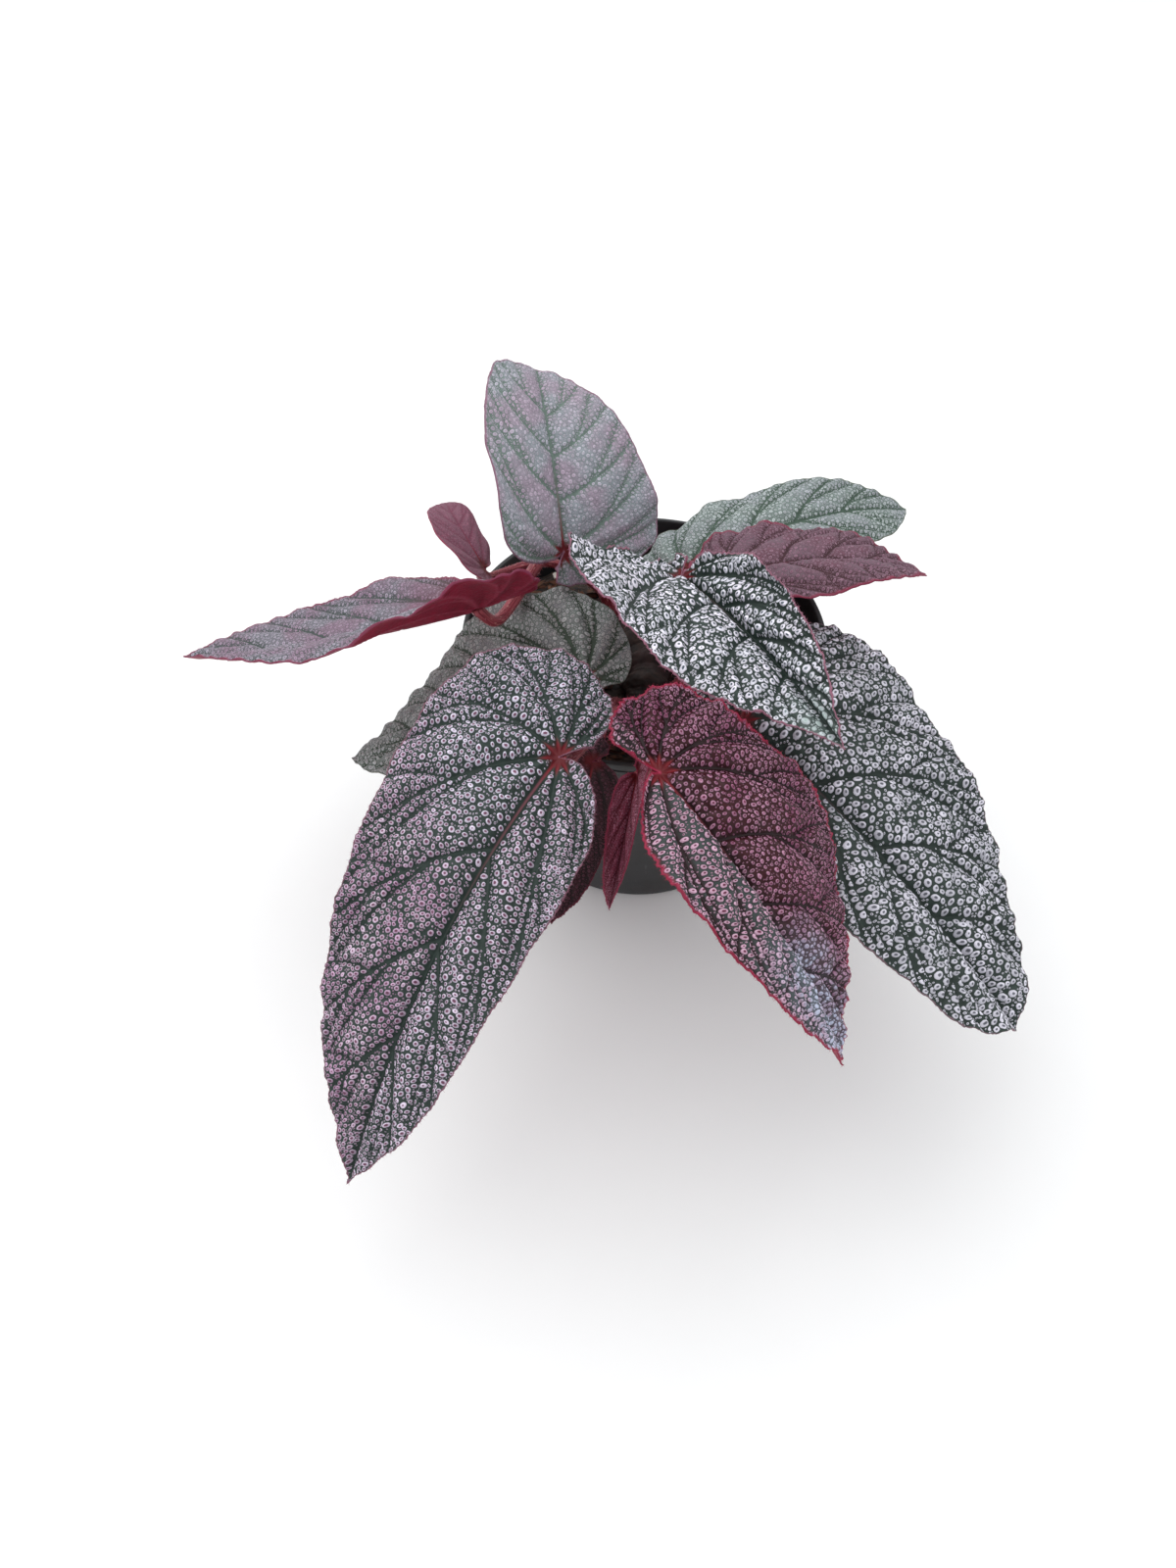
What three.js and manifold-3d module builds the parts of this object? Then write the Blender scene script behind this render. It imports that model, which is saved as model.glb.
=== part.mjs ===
// A potted rex begonia: twelve oblique, pointed leaves on red stalks that spring from a creeping
// rhizome, in a round nursery pot. Millimetres, +Z up, the front of the plant towards -Y.
// The origin is the centre of the pot's flat base.
import * as THREE from 'three';
import { mergeVertices } from 'three/addons/utils/BufferGeometryUtils.js';
import Module from 'manifold-3d';

const wasm = await Module();
wasm.setup();

// ---- driving dimensions -------------------------------------------------------------------

const GAP = 0.35; // clearance between pieces that touch on the real plant

const POT_HEIGHT = 92;
const POT_RIM_RADIUS = 60; // outside of the rolled rim
const POT_LIP = 2.6; // how far the rim stands out from the wall
const POT_BAND = 11; // height of the rim band
const POT_FOOT_RADIUS = 43;
const POT_WALL = 1.4;
const POT_FLOOR = 2;
const POT_FOOT_CHAMFER = 2;
const POT_BAND_LEDGE = 1; // height over which the wall steps out to the rim band
const POT_BAND_TAPER = 0.9; // how much narrower the band is at its foot
const POT_RIM_ROUND = 0.8;
const POT_SIDES = 48;
const DRAIN_COUNT = 8;
const DRAIN_RADIUS = 4.5;
const DRAIN_CIRCLE = 27;

const SOIL_TOP = 80;
const SOIL_EDGE = 2; // how much lower the soil meets the wall
const SOIL_RINGS = [0.93, 0.8, 0.65, 0.5, 0.34, 0.17]; // rings of its surface, as shares of its radius
// Crossing waves of the soil's surface: radians per mm along x and along y, phase, height.
const SOIL_WAVES = [[0.21, 0.17, 0.6, 0.75], [0.43, -0.31, 1.3, 0.45], [0.23, 0.37, 1.6, 0.4]];

const RHIZOME_LENGTH = 58;
const RHIZOME_RADIUS = 7.5;
const RHIZOME_END = 0.4; // radius of its blunt ends, as a share of the full one
const RHIZOME_SWELL = 0.9; // swelling at each old leaf scar
const RHIZOME_SCARS = 6;
const RHIZOME_SIDES = 14;
const RHIZOME_STEPS = 26;

const PETIOLE_BASE_RADIUS = 2.9;
const PETIOLE_TOP_RADIUS = 1.7;
const PETIOLE_TAPER = 0.6; // under 1, a stalk thins most near its foot
const SMALL_PETIOLE = 0.75; // how much thinner a small leaf's stalk is
const PETIOLE_SIDES = 7;
const PETIOLE_STEPS = 9;
const PETIOLE_HOOK = 9; // length over which a stalk turns up into its blade
const PETIOLE_DEPTH = 11; // how deep the foot stands in the soil
const PETIOLE_COLLAR = 1; // height above the soil up to which a stalk stands upright

const BLADE_THICKNESS = 0.8;
const VEIN_GROOVE = 5; // width over which the blade rises from a vein to its full height
const VEIN_BOW = 0.09; // how far a side vein bows away from the tip, as a share of its length
const VEIN_STEPS = 8;
const TOOTH = 0.9; // depth of the scallops along the margin
const SMALL_TOOTH = 0.5; // how much shallower they are on a small leaf
const CREASE = 3; // width of the midrib's valley, over which a half turns to its fold
const WAVE_RATE = 9; // waves along the margin for each radian round the stalk
const WAVE_PHASE = 0.07; // phase of those waves, for each mm of the blade's length
const WAVE_RISE = 4; // how fast they grow with each radian away from the midrib
const MIDRIB_STEPS = 135;
const LOBE_REACH = 0.35; // the midrib's frame runs on behind the stalk by this share of the length
const BLUNT_REACH = 0.13; // share of the length, back from the tip, that a blunt tip is widened over
const CLASP_REACH = 0.5; // share of the length, out from the stalk, over which a clasped base opens
const DEGREE = Math.PI / 180;

// Outline of a blade, from the tip round each half to the notch at the stalk. The first number is
// a share of the blade's length along the midrib, the second a share of that half's width.
const BROAD_OUTLINE = [
  [1, 0], [0.92, 0.13], [0.83, 0.31], [0.72, 0.52], [0.58, 0.7], [0.42, 0.83], [0.25, 0.93],
  [0.08, 1], [-0.06, 0.96], [-0.16, 0.74], [-0.21, 0.42], [-0.21, 0.1], [-0.155, -0.14],
  [-0.06, -0.16],
];
const NARROW_OUTLINE = [
  [1, 0], [0.93, 0.28], [0.84, 0.58], [0.72, 0.77], [0.58, 0.87], [0.42, 0.94], [0.25, 1],
  [0.1, 0.86], [0.02, 0.52], [-0.01, 0.12],
];
// Rays of the blade's mesh, as places along those outlines. A ray that is a main vein is in *_VEINS.
const BROAD_RAYS = [0, 0.9, 1.8, 2.7, 3.6, 4.5, 5.4, 6.3, 7.2, 8.05, 8.9, 9.75, 10.6, 11.4, 12.2, 13];
const BROAD_VEINS = [5.4, 7.2, 8.9, 10.6, 12.2];
const NARROW_RAYS = [0.9, 1.8, 2.7, 3.65, 4.6, 5.6, 6.6, 7.6, 8.6];
const NARROW_VEINS = [4.6, 6.6];
const RINGS_LARGE = [0.14, 0.32, 0.52, 0.71, 0.88, 1];
const RINGS_SMALL = [0.25, 0.6, 0.88, 1];

// One row for each leaf. junction: top of the stalk. heading, pitch and roll: where the blade points
// at the stalk, in degrees. bend, sickle and twist: how much these change from stalk to tip.
// broad and narrow: width of each half, with its fold up from the midrib, its curl down towards the
// margin and its belly, which widens it halfway. side: +1 where the broad half is on the left of the
// heading. foot: where the stalk leaves the rhizome, in plan. via: a place that it passes through.
const LEAVES = [
  {
    name: 'front_left', junction: [-26, -86, 126], side: -1, length: 122,
    heading: 237, pitch: -5, roll: -12, bend: -47, sickle: 7, twist: 21,
    broad: 36, narrow: 22, fold: [12, 3], curl: [11, 17], belly: [0, 0], lobe: 1,
    puff: 1.8, wave: 1.6, foot: [-3, -34], via: [-11, -52, 106],
    colour: 0x76717c, stalk: 0x8d2b40,
  },
  {
    name: 'front_crimson', junction: [-1, -99, 135], side: 1, length: 89,
    heading: 309, pitch: -10, roll: -4, bend: -50, sickle: 3, twist: -32,
    broad: 28, narrow: 15, fold: [12, 18], curl: [19, 18], belly: [0.55, 0.6], lobe: 1.1,
    puff: 1.5, wave: 1.4, foot: [10, -27], via: [7, -52, 108],
    colour: 0x7a3f52, stalk: 0xa8203a,
  },
  {
    name: 'front_right', junction: [27, -52, 103], side: 1, length: 116,
    heading: 309, pitch: -1, roll: 3, bend: -36, sickle: 5, twist: -10,
    broad: 49, narrow: 29, fold: [12, 10], curl: [23, 18], belly: [0, 0], lobe: 1, blunt: 0.8,
    puff: 2, wave: 1.8, foot: [11, -16], via: [17, -29, 92],
    colour: 0x7c7f85, stalk: 0x8d2b40,
  },
  {
    name: 'centre_young', junction: [9.4, -13.8, 125.2], side: -1, length: 85.7,
    heading: 296, pitch: 19, roll: 10.3, bend: -27.7, sickle: 0.7, twist: 39.4,
    broad: 40.7, narrow: 14.6, fold: [33.5, 23.3], curl: [-12, -2], belly: [0, 0.27], lobe: 0.69,
    puff: 2, wave: 1.6, foot: [8, -5], via: [9, -7, 100],
    colour: 0x8b8f8e, stalk: 0xa33a4a,
  },
  {
    name: 'back_upright', junction: [-26, -6, 129], side: -1, length: 61,
    heading: 102, pitch: 72, roll: 21, bend: -73, sickle: -3, twist: -17,
    broad: 33, narrow: 28, fold: [10, 25], curl: [11, -3], belly: [0, 0], lobe: 0.9, blunt: 0.5,
    puff: 1, wave: 0.8, foot: [-3, 33], via: [-11, 27, 110],
    colour: 0x9a8f9f, stalk: 0x8d4a50,
  },
  {
    name: 'back_right', junction: [16, 22, 99], side: 1, length: 85,
    heading: 20, pitch: 24, roll: -2, bend: -45, sickle: 2, twist: 21,
    broad: 24, narrow: 20, fold: [6, 7], curl: [29, 16], belly: [0, 0], lobe: 1, blunt: 0.3,
    puff: 1.2, wave: 1, foot: [10, 17], via: [12, 21, 88],
    colour: 0x909a97, stalk: 0x9a4a52,
  },
  {
    name: 'right_mauve', junction: [26, -2, 116], side: 1, length: 63,
    heading: -1, pitch: 26, roll: -6, bend: -50, sickle: 0, twist: -14,
    broad: 28, narrow: 22, fold: [2, 6], curl: [12, 18], belly: [0, 0], lobe: 1,
    puff: 1.2, wave: 1, foot: [9, 6], via: [14, 3, 96],
    colour: 0x8c5f73, stalk: 0xa3324a,
  },
  {
    name: 'left', junction: [-51.5, -23.4, 122], side: 1, length: 95,
    heading: 188, pitch: -13.5, roll: 24, bend: 2.5, sickle: -16, twist: -12.5,
    broad: 31, narrow: 20, fold: [12.5, -5.5], curl: [9, -18], belly: [-0.06, 0.35], lobe: 1.02,
    clasp: 20,
    puff: 1, wave: 1, foot: [-9.5, 20], via: [-26, 22, 111],
    colour: 0x85757f, stalk: 0xb01c38,
  },
  {
    name: 'lower_left', junction: [-20.5, -34, 102.5], side: -1, length: 82,
    heading: 198.5, pitch: -9, roll: -15, bend: -27, sickle: -31, twist: 31.5,
    broad: 32, narrow: 19.5, fold: [-4, -6.5], curl: [-13, 12], belly: [0.37, 0], lobe: 1.02,
    puff: 1.4, wave: 1, foot: [-10, -8], via: [-16, -17, 92],
    colour: 0x7e8479, stalk: 0x8a3b48,
  },
  {
    name: 'left_young', junction: [-52, 7, 112], side: 1, length: 36, small: true,
    heading: 126.5, pitch: 35, roll: 31, bend: -62, sickle: -22.5, twist: -40,
    broad: 13.5, narrow: 9, fold: [21, -1], curl: [9, 27.5], belly: [0.09, -0.06], lobe: 1,
    puff: 0.5, wave: 0.4, foot: [-12, 29], via: [-31, 29, 96],
    colour: 0x8f4a64, stalk: 0xb0304c,
  },
  {
    name: 'folded_new', junction: [-5, -80, 112], side: 1, length: 38, small: true,
    heading: 258, pitch: -24, roll: 12, bend: -24, sickle: -6, twist: -12,
    broad: 10, narrow: 7, fold: [58, 55], curl: [0, 11], belly: [0, 0], lobe: 1,
    puff: 0.3, wave: 0.3, foot: [4.5, -34], via: [2.5, -54, 97],
    colour: 0x7d2c42, stalk: 0xa32a42,
  },
  {
    name: 'inner_dark', junction: [-17, -65, 100], side: -1, length: 52, small: true,
    heading: 261, pitch: -3, roll: -4, bend: -14, sickle: -8, twist: 5,
    broad: 25, narrow: 10, fold: [8, 6], curl: [15, 20], belly: [0, 0], lobe: 1,
    puff: 0.8, wave: 0.6, foot: [-9, -24], via: [-13, -44, 97],
    colour: 0x5a2a3a, stalk: 0x8a2438,
  },
];

// ---- solids -------------------------------------------------------------------------------

function toSolid(geometry) {
  const bare = geometry.clone();
  bare.deleteAttribute('normal');
  bare.deleteAttribute('uv');
  const merged = mergeVertices(bare, 1e-4);
  return new wasm.Manifold(new wasm.Mesh({
    numProp: 3,
    vertProperties: new Float32Array(merged.attributes.position.array),
    triVerts: new Uint32Array(merged.index.array),
  }));
}

function toGeometry(solid) {
  const mesh = solid.getMesh();
  return indexedGeometry(mesh.vertProperties, mesh.triVerts);
}

function indexedGeometry(coordinates, triangles) {
  const geometry = new THREE.BufferGeometry();
  geometry.setAttribute('position', new THREE.BufferAttribute(new Float32Array(coordinates), 3));
  geometry.setIndex(new THREE.BufferAttribute(new Uint32Array(triangles), 1));
  geometry.computeVertexNormals();
  return geometry;
}

function cutBy(geometry, cutters) {
  let solid = toSolid(geometry);
  for (const cutter of cutters) {
    solid = solid.subtract(toSolid(cutter));
  }
  return toGeometry(solid);
}

function lathe(profile, sides) {
  const geometry = new THREE.LatheGeometry(profile.map(([r, z]) => new THREE.Vector2(r, z)), sides);
  geometry.rotateX(Math.PI / 2);
  return geometry;
}

// ---- pot and soil -------------------------------------------------------------------------

const BAND_FOOT = POT_HEIGHT - POT_BAND;
const WALL_TOP_RADIUS = POT_RIM_RADIUS - POT_LIP; // outside of the wall where the rim band starts

function wallRadius(z) {
  return POT_FOOT_RADIUS + (WALL_TOP_RADIUS - POT_FOOT_RADIUS) * (z / BAND_FOOT);
}

function insideRadius(z) {
  return wallRadius(z) - POT_WALL;
}

function makePot() {
  const profile = [
    [0, 0],
    [POT_FOOT_RADIUS - POT_FOOT_CHAMFER, 0],
    [POT_FOOT_RADIUS, POT_FOOT_CHAMFER],
    [wallRadius(BAND_FOOT - POT_BAND_LEDGE), BAND_FOOT - POT_BAND_LEDGE],
    [POT_RIM_RADIUS - POT_BAND_TAPER, BAND_FOOT],
    [POT_RIM_RADIUS, POT_HEIGHT - POT_RIM_ROUND],
    [POT_RIM_RADIUS - POT_RIM_ROUND, POT_HEIGHT],
    [POT_RIM_RADIUS - POT_WALL - POT_RIM_ROUND, POT_HEIGHT - POT_RIM_ROUND],
    [insideRadius(BAND_FOOT + POT_LIP), BAND_FOOT + POT_LIP],
    [insideRadius(POT_FLOOR), POT_FLOOR],
    [0, POT_FLOOR],
    [0, 0],
  ];
  const drains = [];
  for (let i = 0; i < DRAIN_COUNT; i += 1) {
    const angle = (i + 0.5) * (2 * Math.PI / DRAIN_COUNT);
    const drain = new THREE.CylinderGeometry(DRAIN_RADIUS, DRAIN_RADIUS, POT_FLOOR * 3, 12);
    drain.rotateX(Math.PI / 2);
    drain.translate(DRAIN_CIRCLE * Math.cos(angle), DRAIN_CIRCLE * Math.sin(angle), POT_FLOOR / 2);
    drains.push(drain);
  }
  return cutBy(lathe(profile, POT_SIDES), drains);
}

function soilHeight(x, y) {
  let height = 0;
  for (const [alongX, alongY, phase, rise] of SOIL_WAVES) {
    height += rise * Math.sin(alongX * x + alongY * y + phase);
  }
  return height;
}

function makeSoil(cutters) {
  const bottom = POT_FLOOR + GAP;
  const profile = [[0, bottom], [insideRadius(bottom) - GAP, bottom]];
  profile.push([insideRadius(SOIL_TOP - SOIL_EDGE) - GAP, SOIL_TOP - SOIL_EDGE]);
  for (const share of SOIL_RINGS) {
    profile.push([insideRadius(SOIL_TOP) * share, SOIL_TOP]);
  }
  profile.push([0, SOIL_TOP]);
  const geometry = lathe(profile, POT_SIDES);
  const position = geometry.attributes.position;
  for (let i = 0; i < position.count; i += 1) {
    if (position.getZ(i) > SOIL_TOP - SOIL_EDGE / 2) {
      position.setZ(i, SOIL_TOP + soilHeight(position.getX(i), position.getY(i)));
    }
  }
  return cutBy(geometry, cutters);
}

// ---- tubes: the rhizome and the stalks ------------------------------------------------------

// A closed tube through the rings of a curve. radius(share) gives its radius. longer moves both ends
// out, and cutNormal, if any, is the normal of the plane that the last ring is cut along.
function tube(curve, radius, sides, steps, longer, cutNormal) {
  const frames = curve.computeFrenetFrames(steps, false);
  const coordinates = [];
  const triangles = [];
  const end = curve.getPointAt(1);
  for (let k = 0; k <= steps; k += 1) {
    const share = k / steps;
    const beyond = (k === steps ? longer : 0) - (k === 0 ? longer : 0);
    const centre = curve.getPointAt(share).addScaledVector(frames.tangents[k], beyond);
    for (let i = 0; i < sides; i += 1) {
      const angle = i * (2 * Math.PI / sides);
      const point = centre.clone()
        .addScaledVector(frames.normals[k], radius(share) * Math.cos(angle))
        .addScaledVector(frames.binormals[k], radius(share) * Math.sin(angle));
      if (cutNormal && k === steps) {
        const offset = end.clone().sub(point).dot(cutNormal) / frames.tangents[k].dot(cutNormal);
        point.addScaledVector(frames.tangents[k], offset);
      }
      coordinates.push(point.x, point.y, point.z);
    }
  }
  for (let k = 0; k < steps; k += 1) {
    for (let i = 0; i < sides; i += 1) {
      const a = k * sides + i;
      const b = k * sides + (i + 1) % sides;
      triangles.push(a, b, b + sides, a, b + sides, a + sides);
    }
  }
  const last = steps * sides;
  for (let i = 1; i < sides - 1; i += 1) {
    triangles.push(0, i + 1, i, last, last + i, last + i + 1);
  }
  return indexedGeometry(coordinates, triangles);
}

const RHIZOME_AXIS = new THREE.CatmullRomCurve3([
  new THREE.Vector3(-2, -RHIZOME_LENGTH / 2, SOIL_TOP - 1),
  new THREE.Vector3(1.5, -RHIZOME_LENGTH / 6, SOIL_TOP + 1),
  new THREE.Vector3(-1.5, RHIZOME_LENGTH / 6, SOIL_TOP + 0.5),
  new THREE.Vector3(1, RHIZOME_LENGTH / 2, SOIL_TOP - 2),
]);

function makeRhizome(grow) {
  const radius = (share) => {
    const taper = Math.sqrt(Math.max(RHIZOME_END ** 2, 1 - (2 * share - 1) ** 6));
    const scar = Math.sin(share * RHIZOME_SCARS * 2 * Math.PI) * RHIZOME_SWELL;
    return RHIZOME_RADIUS * taper + scar * taper + grow;
  };
  return tube(RHIZOME_AXIS, radius, RHIZOME_SIDES, RHIZOME_STEPS, grow);
}

// ---- blades -------------------------------------------------------------------------------

function outlinePoint(points, place) {
  const curve = new THREE.SplineCurve(points.map(([x, y]) => new THREE.Vector2(x, y)));
  return curve.getPoint(place / (points.length - 1));
}

// The flat blade: u runs along the midrib from the stalk, v across it, positive on the broad half.
function flatPoint(leaf, half, place) {
  const broad = half === 0;
  const point = outlinePoint(broad ? BROAD_OUTLINE : NARROW_OUTLINE, place);
  const belly = leaf.belly[half] * Math.sin(Math.PI * THREE.MathUtils.clamp(point.x, 0, 1));
  const blunt = (leaf.blunt ?? 0) * Math.exp(-(((1 - point.x) / BLUNT_REACH) ** 2));
  const u = point.x * leaf.length * (point.x < 0 ? leaf.lobe : 1);
  const v = point.y * (1 + belly + blunt) * (broad ? leaf.broad : -leaf.narrow);
  return new THREE.Vector2(u, v);
}

// A place on a ray from the stalk to a margin point. Side veins bow away from the tip.
function alongRay(end, share) {
  const sine = end.y / end.length();
  const bow = 4 * VEIN_BOW * Math.abs(sine) * share * (1 - share) * (end.y < 0 ? -1 : 1);
  return new THREE.Vector2(end.x * share - end.y * bow, end.y * share + end.x * bow);
}

function mainVeins(leaf) {
  const veins = [];
  const ends = [new THREE.Vector2(leaf.length, 0)];
  for (const place of BROAD_VEINS) {
    ends.push(flatPoint(leaf, 0, place));
  }
  for (const place of NARROW_VEINS) {
    ends.push(flatPoint(leaf, 1, place));
  }
  for (const end of ends) {
    const vein = [];
    for (let k = 0; k <= VEIN_STEPS; k += 1) {
      vein.push(alongRay(end, k / VEIN_STEPS));
    }
    veins.push(vein);
  }
  return veins;
}

function distanceToVeins(veins, point) {
  let nearest = Infinity;
  for (const vein of veins) {
    for (let k = 1; k < vein.length; k += 1) {
      const start = vein[k - 1];
      const span = vein[k].clone().sub(start);
      const share = THREE.MathUtils.clamp(point.clone().sub(start).dot(span) / span.lengthSq(), 0, 1);
      nearest = Math.min(nearest, point.distanceTo(start.clone().addScaledVector(span, share)));
    }
  }
  return nearest;
}

// The frames of the midrib, from behind the stalk to the tip: place, direction, left and up.
function midribFrames(leaf) {
  const frames = [];
  const place = new THREE.Vector3();
  let previous = null;
  for (let k = 0; k <= MIDRIB_STEPS; k += 1) {
    const share = -LOBE_REACH + (1 + LOBE_REACH) * (k / MIDRIB_STEPS);
    const ahead = Math.max(share, 0);
    const pitch = (leaf.pitch + leaf.bend * ahead) * DEGREE;
    const heading = (leaf.heading + leaf.sickle * ahead) * DEGREE;
    const roll = (leaf.roll + leaf.twist * share) * DEGREE;
    const along = new THREE.Vector3(
      Math.cos(pitch) * Math.cos(heading),
      Math.cos(pitch) * Math.sin(heading),
      Math.sin(pitch),
    );
    const level = new THREE.Vector3(-Math.sin(heading), Math.cos(heading), 0);
    const up = along.clone().cross(level);
    const left = level.clone().multiplyScalar(Math.cos(roll)).addScaledVector(up, Math.sin(roll));
    if (previous) {
      const step = (1 + LOBE_REACH) * leaf.length / MIDRIB_STEPS;
      place.addScaledVector(along.clone().add(previous), step / 2);
    }
    previous = along;
    frames.push({ place: place.clone(), along, left, up: along.clone().cross(left) });
  }
  const stalk = frames[Math.round(MIDRIB_STEPS * LOBE_REACH / (1 + LOBE_REACH))].place.clone();
  const shift = new THREE.Vector3(...leaf.junction).sub(stalk);
  for (const frame of frames) {
    frame.place.add(shift);
  }
  return frames;
}

function frameAt(leaf, frames, u) {
  const at = (u / leaf.length + LOBE_REACH) / (1 + LOBE_REACH) * (frames.length - 1);
  const k = THREE.MathUtils.clamp(Math.floor(at), 0, frames.length - 2);
  const mix = THREE.MathUtils.clamp(at - k, 0, 1);
  const blend = (key) => frames[k][key].clone().lerp(frames[k + 1][key], mix);
  return { place: blend('place'), left: blend('left').normalize(), up: blend('up').normalize() };
}

// Lifts a flat point into its place on the plant. Returns the point of the blade's middle layer and
// the blade's normal there.
function liftBlade(leaf, frames, veins, flat, share) {
  const frame = frameAt(leaf, frames, flat.x);
  const half = flat.y >= 0 ? 0 : 1;
  const width = half === 0 ? leaf.broad : leaf.narrow;
  const across = Math.abs(flat.y);
  const outward = Math.sign(flat.y) * leaf.side;
  const clasp = (leaf.clasp ?? 0) * THREE.MathUtils.clamp(1 - flat.x / (CLASP_REACH * leaf.length), 0, 1);
  const angle = (leaf.fold[half] + clasp - 0.5 * leaf.curl[half] * across / width) * DEGREE;
  const crease = Math.min(across / CREASE, 1);
  const normal = frame.up.clone().multiplyScalar(Math.cos(angle * crease))
    .addScaledVector(frame.left, -outward * Math.sin(angle * crease));
  const relief = leaf.puff * (1 - Math.exp(-((distanceToVeins(veins, flat) / VEIN_GROOVE) ** 2)));
  const turn = Math.atan2(flat.y, flat.x);
  const height = leaf.wave * share ** 4 * Math.min(1, WAVE_RISE * Math.abs(turn));
  const wave = height * Math.sin(WAVE_RATE * turn + WAVE_PHASE * leaf.length);
  const point = frame.place.clone()
    .addScaledVector(frame.left, outward * across * Math.cos(angle))
    .addScaledVector(frame.up, across * Math.sin(angle))
    .addScaledVector(normal, relief + wave);
  return { point, normal };
}

function bladeRays(leaf) {
  const rays = [];
  for (let k = NARROW_RAYS.length - 1; k >= 0; k -= 1) {
    rays.push([1, NARROW_RAYS[k]]);
  }
  for (const place of BROAD_RAYS) {
    rays.push([0, place]);
  }
  const ends = rays.map(([half, place]) => flatPoint(leaf, half, place));
  const between = rays.slice(1).map(([half, place], k) => {
    const before = rays[k][0] === half ? rays[k][1] : 0;
    return flatPoint(leaf, half, (before + place) / 2);
  });
  return { ends, between };
}

// A blade is a fan of rings round the stalk, the same on its upper and lower face, with twice as many
// points on the scalloped margin.
function makeBlade(leaf) {
  const frames = midribFrames(leaf);
  const veins = mainVeins(leaf);
  const { ends, between } = bladeRays(leaf);
  const rings = leaf.small ? RINGS_SMALL : RINGS_LARGE;
  const flats = [{ flat: new THREE.Vector2(0, 0), share: 0 }];
  const ringStart = [];
  for (const share of rings) {
    ringStart.push(flats.length);
    const margin = share === 1;
    ends.forEach((end, k) => {
      flats.push({ flat: alongRay(end, share), share });
      if (margin && k < between.length) {
        const notch = 1 - TOOTH / between[k].length() * (leaf.small ? SMALL_TOOTH : 1);
        flats.push({ flat: between[k].clone().multiplyScalar(notch), share });
      }
    });
  }
  const faces = [];
  const count = ends.length;
  for (let k = 0; k + 1 < count; k += 1) {
    faces.push([0, ringStart[0] + k, ringStart[0] + k + 1]);
  }
  for (let ring = 0; ring + 2 < rings.length; ring += 1) {
    for (let k = 0; k + 1 < count; k += 1) {
      const a = ringStart[ring] + k;
      const b = ringStart[ring + 1] + k;
      faces.push([a, b, b + 1], [a, b + 1, a + 1]);
    }
  }
  const inner = ringStart[rings.length - 2];
  const outer = ringStart[rings.length - 1];
  for (let k = 0; k + 1 < count; k += 1) {
    const a = inner + k;
    const b = outer + 2 * k;
    faces.push([a, b, b + 1], [a, b + 1, a + 1], [a + 1, b + 1, b + 2]);
  }
  const border = [0];
  for (const start of ringStart.slice(0, -1)) {
    border.push(start);
  }
  for (let k = 0; k < 2 * count - 1; k += 1) {
    border.push(outer + k);
  }
  for (const start of ringStart.slice(0, -1).reverse()) {
    border.push(start + count - 1);
  }
  const upper = [];
  const lower = [];
  for (const { flat, share } of flats) {
    const { point, normal } = liftBlade(leaf, frames, veins, flat, share);
    upper.push(...point.clone().addScaledVector(normal, BLADE_THICKNESS / 2));
    lower.push(...point.clone().addScaledVector(normal, -BLADE_THICKNESS / 2));
  }
  const triangles = [];
  const shift = flats.length;
  const addTriangle = (a, b, c) => {
    if (leaf.side > 0) {
      triangles.push(a, b, c);
    } else {
      triangles.push(a, c, b);
    }
  };
  for (const [a, b, c] of faces) {
    addTriangle(a, b, c);
    addTriangle(a + shift, c + shift, b + shift);
  }
  border.forEach((a, k) => {
    const b = border[(k + 1) % border.length];
    addTriangle(a, a + shift, b + shift);
    addTriangle(a, b + shift, b);
  });
  return indexedGeometry([...upper, ...lower], triangles);
}

// ---- stalks -------------------------------------------------------------------------------

// A stalk rises from its foot beside the rhizome, arches over and meets the blade from below.
function stalkCurve(leaf) {
  const { up, place } = frameAt(leaf, midribFrames(leaf), 0);
  const top = place.clone().addScaledVector(up, -BLADE_THICKNESS / 2 - GAP);
  const [x, y] = leaf.foot;
  const foot = new THREE.Vector3(x, y, SOIL_TOP - PETIOLE_DEPTH);
  const collar = new THREE.Vector3(x, y, SOIL_TOP + PETIOLE_COLLAR);
  const via = new THREE.Vector3(...leaf.via);
  const arrival = top.clone().sub(via).normalize().add(up).normalize();
  const approach = top.clone().addScaledVector(arrival, -PETIOLE_HOOK);
  const curve = new THREE.CatmullRomCurve3([foot, collar, via, approach, top]);
  return { curve, up };
}

// grow makes the stalk thicker and longer all round, for the hole that it stands in.
function makeStalk(leaf, grow) {
  const { curve, up } = stalkCurve(leaf);
  const thin = leaf.small ? SMALL_PETIOLE : 1;
  const narrowing = PETIOLE_BASE_RADIUS - PETIOLE_TOP_RADIUS;
  const radius = (share) => (PETIOLE_BASE_RADIUS - narrowing * share ** PETIOLE_TAPER) * thin + grow;
  return tube(curve, radius, PETIOLE_SIDES, PETIOLE_STEPS, grow, up);
}

// ---- the plant ----------------------------------------------------------------------------

const plant = new THREE.Group();

function addPiece(name, geometry, colour, roughness) {
  const material = new THREE.MeshStandardMaterial({ color: colour, roughness, metalness: 0 });
  const mesh = new THREE.Mesh(geometry, material);
  mesh.name = name;
  plant.add(mesh);
}

const stalkHoles = LEAVES.map((leaf) => makeStalk(leaf, GAP));

addPiece('pot', makePot(), 0x17181a, 0.45);
addPiece('soil', makeSoil([makeRhizome(GAP), ...stalkHoles]), 0x2a211b, 0.95);
addPiece('rhizome', cutBy(makeRhizome(0), stalkHoles), 0x6b4136, 0.8);
for (const leaf of LEAVES) {
  addPiece(`leaf_${leaf.name}`, makeBlade(leaf), leaf.colour, 0.5);
  addPiece(`petiole_${leaf.name}`, makeStalk(leaf, 0), leaf.stalk, 0.55);
}

export default plant;
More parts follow.
